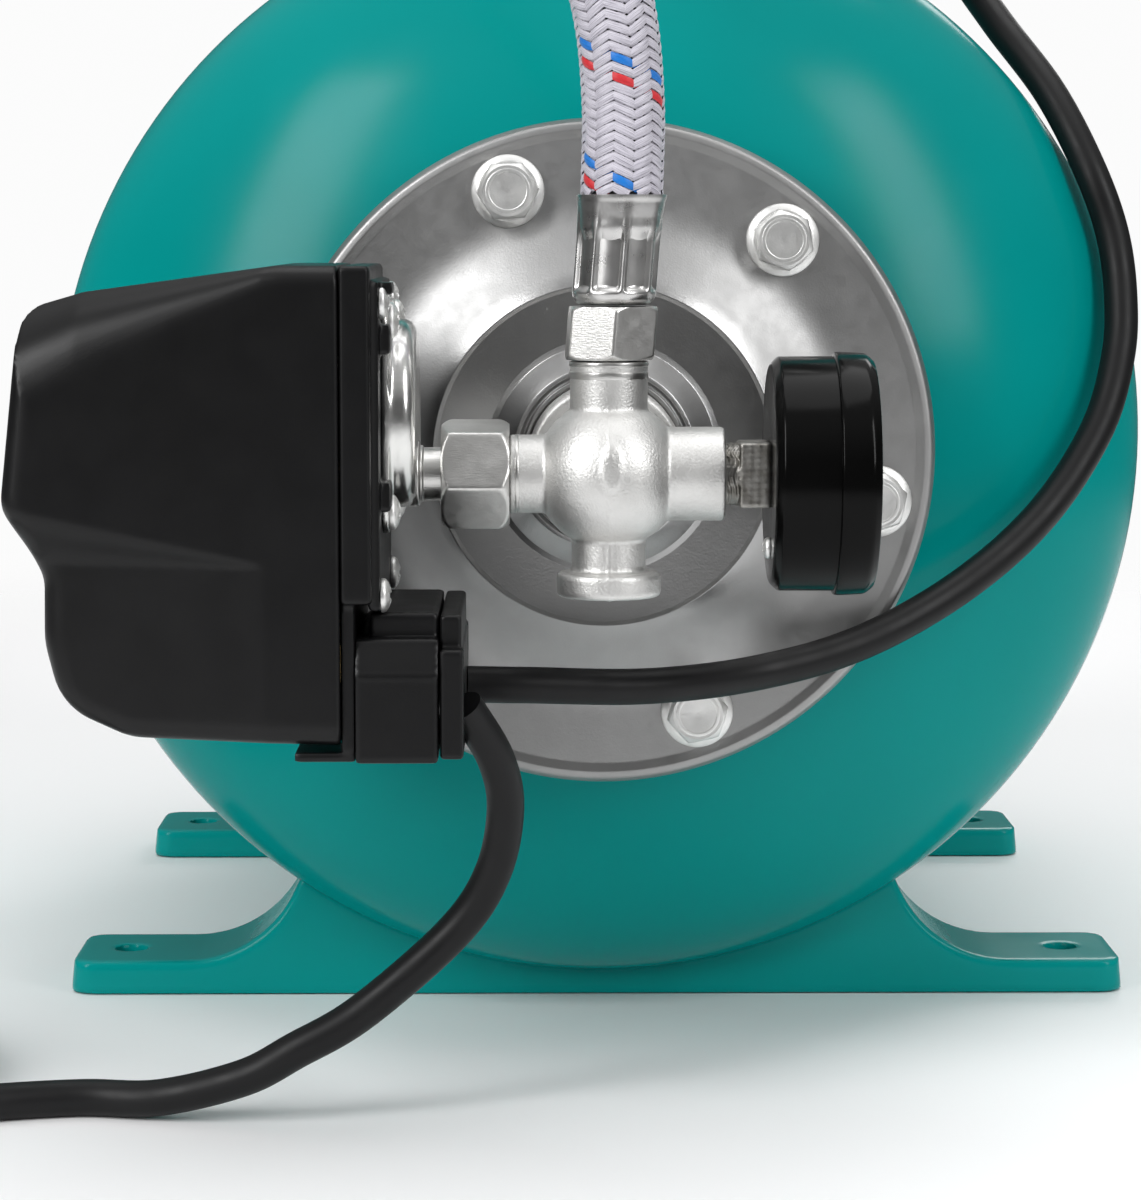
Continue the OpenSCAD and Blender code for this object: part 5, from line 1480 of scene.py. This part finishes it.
def make_terminal_box():
    y0, y1 = 8, 112
    hx = 38

    def box(x, y, z):
        lower = box_field(x, y, z, (-hx, y0, BOX_LOW), (hx, y1, BOX_HIGH + 4), 3)
        lower = np.maximum(lower, z - BOX_HIGH + 0.3)
        draft = box_field(x, y, z * 0, (-hx + 0.18, y0, -50),
                          (hx, y1, 50), 6)
        lower = soft_max(lower, draft, 0.4)
        hollow = box_field(x, y, z, (-hx + 2.5, y0 + 2.5, BOX_LOW + 2.5),
                           (hx - 2.5, y1 - 2.5, BOX_HIGH + 30), 3)
        neck = box_field(x, y, z, (-24, y0 + 8, PUMP_Z + MOTOR_R - 6), (24, y1 - 8, BOX_LOW + 2), 2)
        gland = rod_field(y - BOX_GLAND_Y, z - BOX_GLAND_Z, x, 8.4, hx - 3, 42, 0.6)
        rim = np.maximum(box_field(x, y, z, (-hx - 1, y0 - 1, BOX_HIGH - 3.2),
                                   (hx + 1, y1 + 1, BOX_HIGH - 0.3), 1.0), -hollow)
        d = soft_min(soft_min(np.maximum(lower, -hollow), neck, 2.5), gland, 0.8)
        d = soft_min(d, rim, 0.6)
        lead = np.maximum(off_axis(y - BOX_GLAND_Y, z - BOX_GLAND_Z) - 4.6, hx - 5 - x)
        return common(d, clear_of_motor(x, z), -lead)

    carved("terminal_housing", box, (-hx - 1, y0 - 1, 440), (42.4, y1 + 1, BOX_HIGH), 0.9,
           "black_plastic", nodes=("terminal_box",), angle=45)
    nut = Shape()
    nut.add(*hexagon(15, 4, depth=0.8, bore=4.8, turn=10, around=96),
            towards("+x", (42, BOX_GLAND_Y, BOX_GLAND_Z)))
    cone = [[4.35, 46], [6.9, 46, 0.4], [6.9, 47.4, 0.3], [6.2, 49, 1], [5.0, 49.9, 0.4],
            [4.35, 49.9]]
    nut.turn(cone, 0.3, "x", (0, BOX_GLAND_Y, BOX_GLAND_Z), 64)
    nut.make("lead_gland_nut", "black_plastic")

    def lid(x, y, z):
        plan = box_field(x, y, z * 0, (-39.5, 6.5, -50), (39.5, 113.5, 50), 7)
        d = soft_max(plan, z - LID_TOP, 3.4)
        d = np.maximum(d, BOX_HIGH - z)
        hollow = box_field(x, y, z, (-36, 10, BOX_HIGH - 20), (36, 110, LID_TOP - 2.5), 3)
        raised = box_field(x, y, z, (-27, 22, LID_TOP - 6), (27, 98, LID_TOP - 0.02), 1.2)
        moat = np.maximum(box_field(x, y, z * 0, (-29, 20, -50), (29, 100, 50), 4), LID_TOP - 0.9 - z)
        d = np.minimum(soft_max(d, -moat, 0.4), raised)
        screws = nearest_axis(x, y, *LID_SCREWS)
        d = soft_max(d, -np.maximum(screws - 3.9, LID_TOP - 2.2 - z), 0.3)
        return np.maximum(d, -hollow)

    carved("terminal_cap", lid, (-39.5, 6.5, BOX_HIGH), (39.5, 113.5, LID_TOP), 0.8,
           "black_plastic", nodes=("terminal_lid",), angle=45)
    screws = Shape()
    for i, (y, x) in enumerate(itertools.product(*LID_SCREWS[::-1])):
        cross_head(screws, towards("+z", (x, y, LID_TOP - 2.4), 31 * i), 3.2, 1.9)
    screws.make("lid_screws", "zinc_steel")


def make_saddle_and_foot():
    def saddle(x, y, z):
        outer = box_field(x, y * 0, z, (-56, -1, 240), (56, 1, 299), 4)
        inner = box_field(x, y * 0, z, (-53, -1, 200), (53, 1, 296), 2)
        d = common(outer, -inner, 2 - y, y - 98)
        d = soft_max(d, np.maximum(2.2 - y, y - 97.8), 0.5)
        tank = TANK_R - 0.2 - off_axis(x, z - TANK_Z)
        waist = np.maximum(14 - off_axis(y - 50, z - 272), 40 - np.abs(x))
        holes = nearest_axis(x, y, *FOOT_SCREWS)
        d = common(d, tank, np.where(z < 290, waist, -90))
        weld = off_axis(np.abs(x) - 54.6, z - 276.6) - 3.0 + 0.35 * np.sin(TAU * y / 3.1)
        weld = common(weld, 4 - y, y - 96, np.where(np.abs(y - 50) < 17, 5.0, -5.0))
        return np.maximum(soft_min(d, weld, 0.6), 3.3 - holes)

    carved("saddle_plate", saddle, (-58, 2, 268), (58, 98, 299), 0.9, "teal_paint",
           nodes=("pump_saddle",), angle=45)

    def foot(x, y, z):
        base = box_field(x, y, z, (-46, 14, 299), (46, 86, 304.4), 1.6)
        body = common(np.abs(x) - 30 - 5 * (z - 303) / 39, z - 342, 300 - z)
        body = soft_max(body, np.abs(y - 50) - 31, 2)
        d = soft_min(base, body, 2.5)
        for side in (-1, 1):
            for at in (30, 50, 70):
                rib = common(np.abs(y - at) - 1.8, side * x * 0.75 + (z - 304) * 0.66 - 0.75 * 42,
                             302 - z, -side * x, z - 341)
                d = soft_min(d, rib, 1.0)
        face = np.maximum(np.abs(y - 50) - 60, np.abs(x) - 22)
        pocket = soft_max(off_axis(x, z - 318) - 11, 29.4 - np.abs(y - 50), 1)
        d = soft_max(d, -np.maximum(pocket, face), 0.8)
        return common(d, clear_of_motor(x, z), 3.4 - nearest_axis(x, y, *FOOT_SCREWS))

    carved("motor_stand", foot, (-46, 14, 299), (46, 86, 343), 0.9, "black_plastic",
           nodes=("motor_foot",), angle=45)
    screws = Shape()
    for i, (y, x) in enumerate(itertools.product(*FOOT_SCREWS[::-1])):
        washer = [[3.2, 304.3], [8, 304.3, 0.3], [8, 305.6, 0.4], [3.2, 305.6]]
        screws.turn(washer, 0.2, "z", (x, y, 0), 56)
        screws.add(*hexagon(10, 4, (None, 4.8), depth=0.8, turn=17 * i, around=72),
                   towards("+z", (x, y, 305.2)))
        shank = [[0, 290, 0], [3, 290, 0.4], [3, 306, 0], [0, 306, 0]]
        screws.turn(shank, 0.2, "z", (x, y, 0), 32)
    screws.make("stand_screws", "zinc_steel", nodes=("foot_screws",))


def make_air_valve():
    end = WALL_Y + DOME
    centre = (0, 0, TANK_Z)
    shape = Shape()
    base = [[2.8, end - 6], [8, end - 6, 0.2], [8, end + 0.6, 0.5], [2.8, end + 0.6]]
    shape.turn(base, 0.2, "y", centre, 64)
    shape.add(*hexagon(14, 4, (None, 7.2), depth=0.9, bore=2.8, around=96),
              towards("+y", (0, end + 0.6, TANK_Z)))
    stem = thread(4, end + 4, end + 17, 1.3, 2.8)
    shape.add(*turned(stem, "y", centre, 48))
    shape.make("air_valve_stem", "brass", nodes=("air_valve",))
    around = 240
    a = np.arange(around) * TAU / around
    knurl = 0.28 * (0.5 + 0.5 * np.cos(30 * a))
    rings = []
    for r, y, k in ((4.2, 5, 0), (5.1, 5, 0), (5.4, 5.4, 0), (5.4, 6.6, 0), (5.4, 7.4, 1),
                    (5.4, 15.4, 1), (5.3, 16.4, 0), (5.1, 18.4, 0), (4.3, 20.2, 0), (3, 21, 0),
                    (0.4, 21, 0), (0.4, 19.5, 0), (3, 19.5, 0), (3, 17, 0), (4.2, 17, 0)):
        rings.append(ring(a, r - k * knurl, end + y, "y", (0, TANK_Z)))
    cap = Shape()
    cap.add(np.concatenate(rings), ring_faces(len(rings), around, True))
    cap.make("air_valve_dust_cap", "black_plastic", nodes=("air_valve_cap",))


make_casing()
make_casing_fixings()
make_elbow()
make_bracket()
make_motor_housing()
make_fan_cover()
make_terminal_box()
make_saddle_and_foot()
make_air_valve()


# ---------------------------------------------------------------- studio, and the finish of every CAD node

def make_floor():
    """A pale round floor that fades out towards its edge."""
    n = Nodes("floor_paper")
    n.join(n.blend(n.noise(3, 3), (0.93, 0.93, 0.935), (0.9, 0.9, 0.905)),
           n.shader.inputs["Base Color"])
    n.join(n.spread(n.noise(400, 2), 0.6, 0.75), n.shader.inputs["Roughness"])
    length = n.add("VectorMath", operation="LENGTH")
    n.join(n.place(), length.inputs[0])
    n.join(n.spread(length.outputs["Value"], 1, 0, 0.55, 1.15), n.shader.inputs["Alpha"])
    half = 1.2
    mesh = bpy.data.meshes.new("floor")
    mesh.from_pydata([(-half, -half, 0), (half, -half, 0), (half, half, 0), (-half, half, 0)],
                     [], [[0, 1, 2, 3]])
    mesh.materials.append(n.material)
    floor = bpy.data.objects.new("floor", mesh)
    scene.collection.objects.link(floor)


def softbox(name, where, target, size, power):
    light = bpy.data.lights.new(name, "AREA")
    light.shape = "RECTANGLE"
    light.size, light.size_y = size
    light.energy = power
    obj = bpy.data.objects.new(name, light)
    obj.location = where
    way = Vector(target) - Vector(where)
    obj.rotation_euler = way.to_track_quat("-Z", "Y").to_euler()
    scene.collection.objects.link(obj)


def make_world():
    world = bpy.data.worlds.new("studio")
    scene.world = world
    world.use_nodes = True
    tree = world.node_tree
    back = tree.nodes["Background"]
    back.inputs["Color"].default_value = (1, 1, 1, 1)
    where = tree.nodes.new("ShaderNodeTexCoord")
    parts = tree.nodes.new("ShaderNodeSeparateXYZ")
    height = tree.nodes.new("ShaderNodeMapRange")
    height.inputs["From Min"].default_value = 0.3
    height.inputs["From Max"].default_value = 0.8
    height.inputs["To Min"].default_value = 0.1
    height.inputs["To Max"].default_value = 0.55
    path = tree.nodes.new("ShaderNodeLightPath")
    seen = tree.nodes.new("ShaderNodeMix")
    seen.data_type = "FLOAT"
    seen.inputs["B"].default_value = 0.97
    tree.links.new(where.outputs["Generated"], parts.inputs["Vector"])
    tree.links.new(parts.outputs["Z"], height.inputs["Value"])
    tree.links.new(height.outputs["Result"], seen.inputs["A"])
    tree.links.new(path.outputs["Is Camera Ray"], seen.inputs["Factor"])
    tree.links.new(seen.outputs["Result"], back.inputs["Strength"])


def finish_cad_nodes():
    for row in frame["record"]["subparts"]:
        obj = frame["nodes"][row["node"]]
        material = MATERIALS[row["material_slot"]]
        if not obj.material_slots:
            obj.data.materials.append(material)
        for slot in obj.material_slots:
            slot.material = material


finish_cad_nodes()
make_floor()
make_world()
softbox("key", (-1.35, -1.5, 1.15), (0, -0.1, 0.17), (0.6, 1.5), 30)
softbox("fill", (1.4, -1.45, 1.15), (0, -0.1, 0.17), (0.45, 1.4), 18)
softbox("top", (0.1, 0.1, 2.0), (0, 0, 0.1), (1.6, 1.6), 16)
softbox("back", (0.7, 1.9, 1.2), (0, 0, 0.3), (0.9, 1.0), 10)
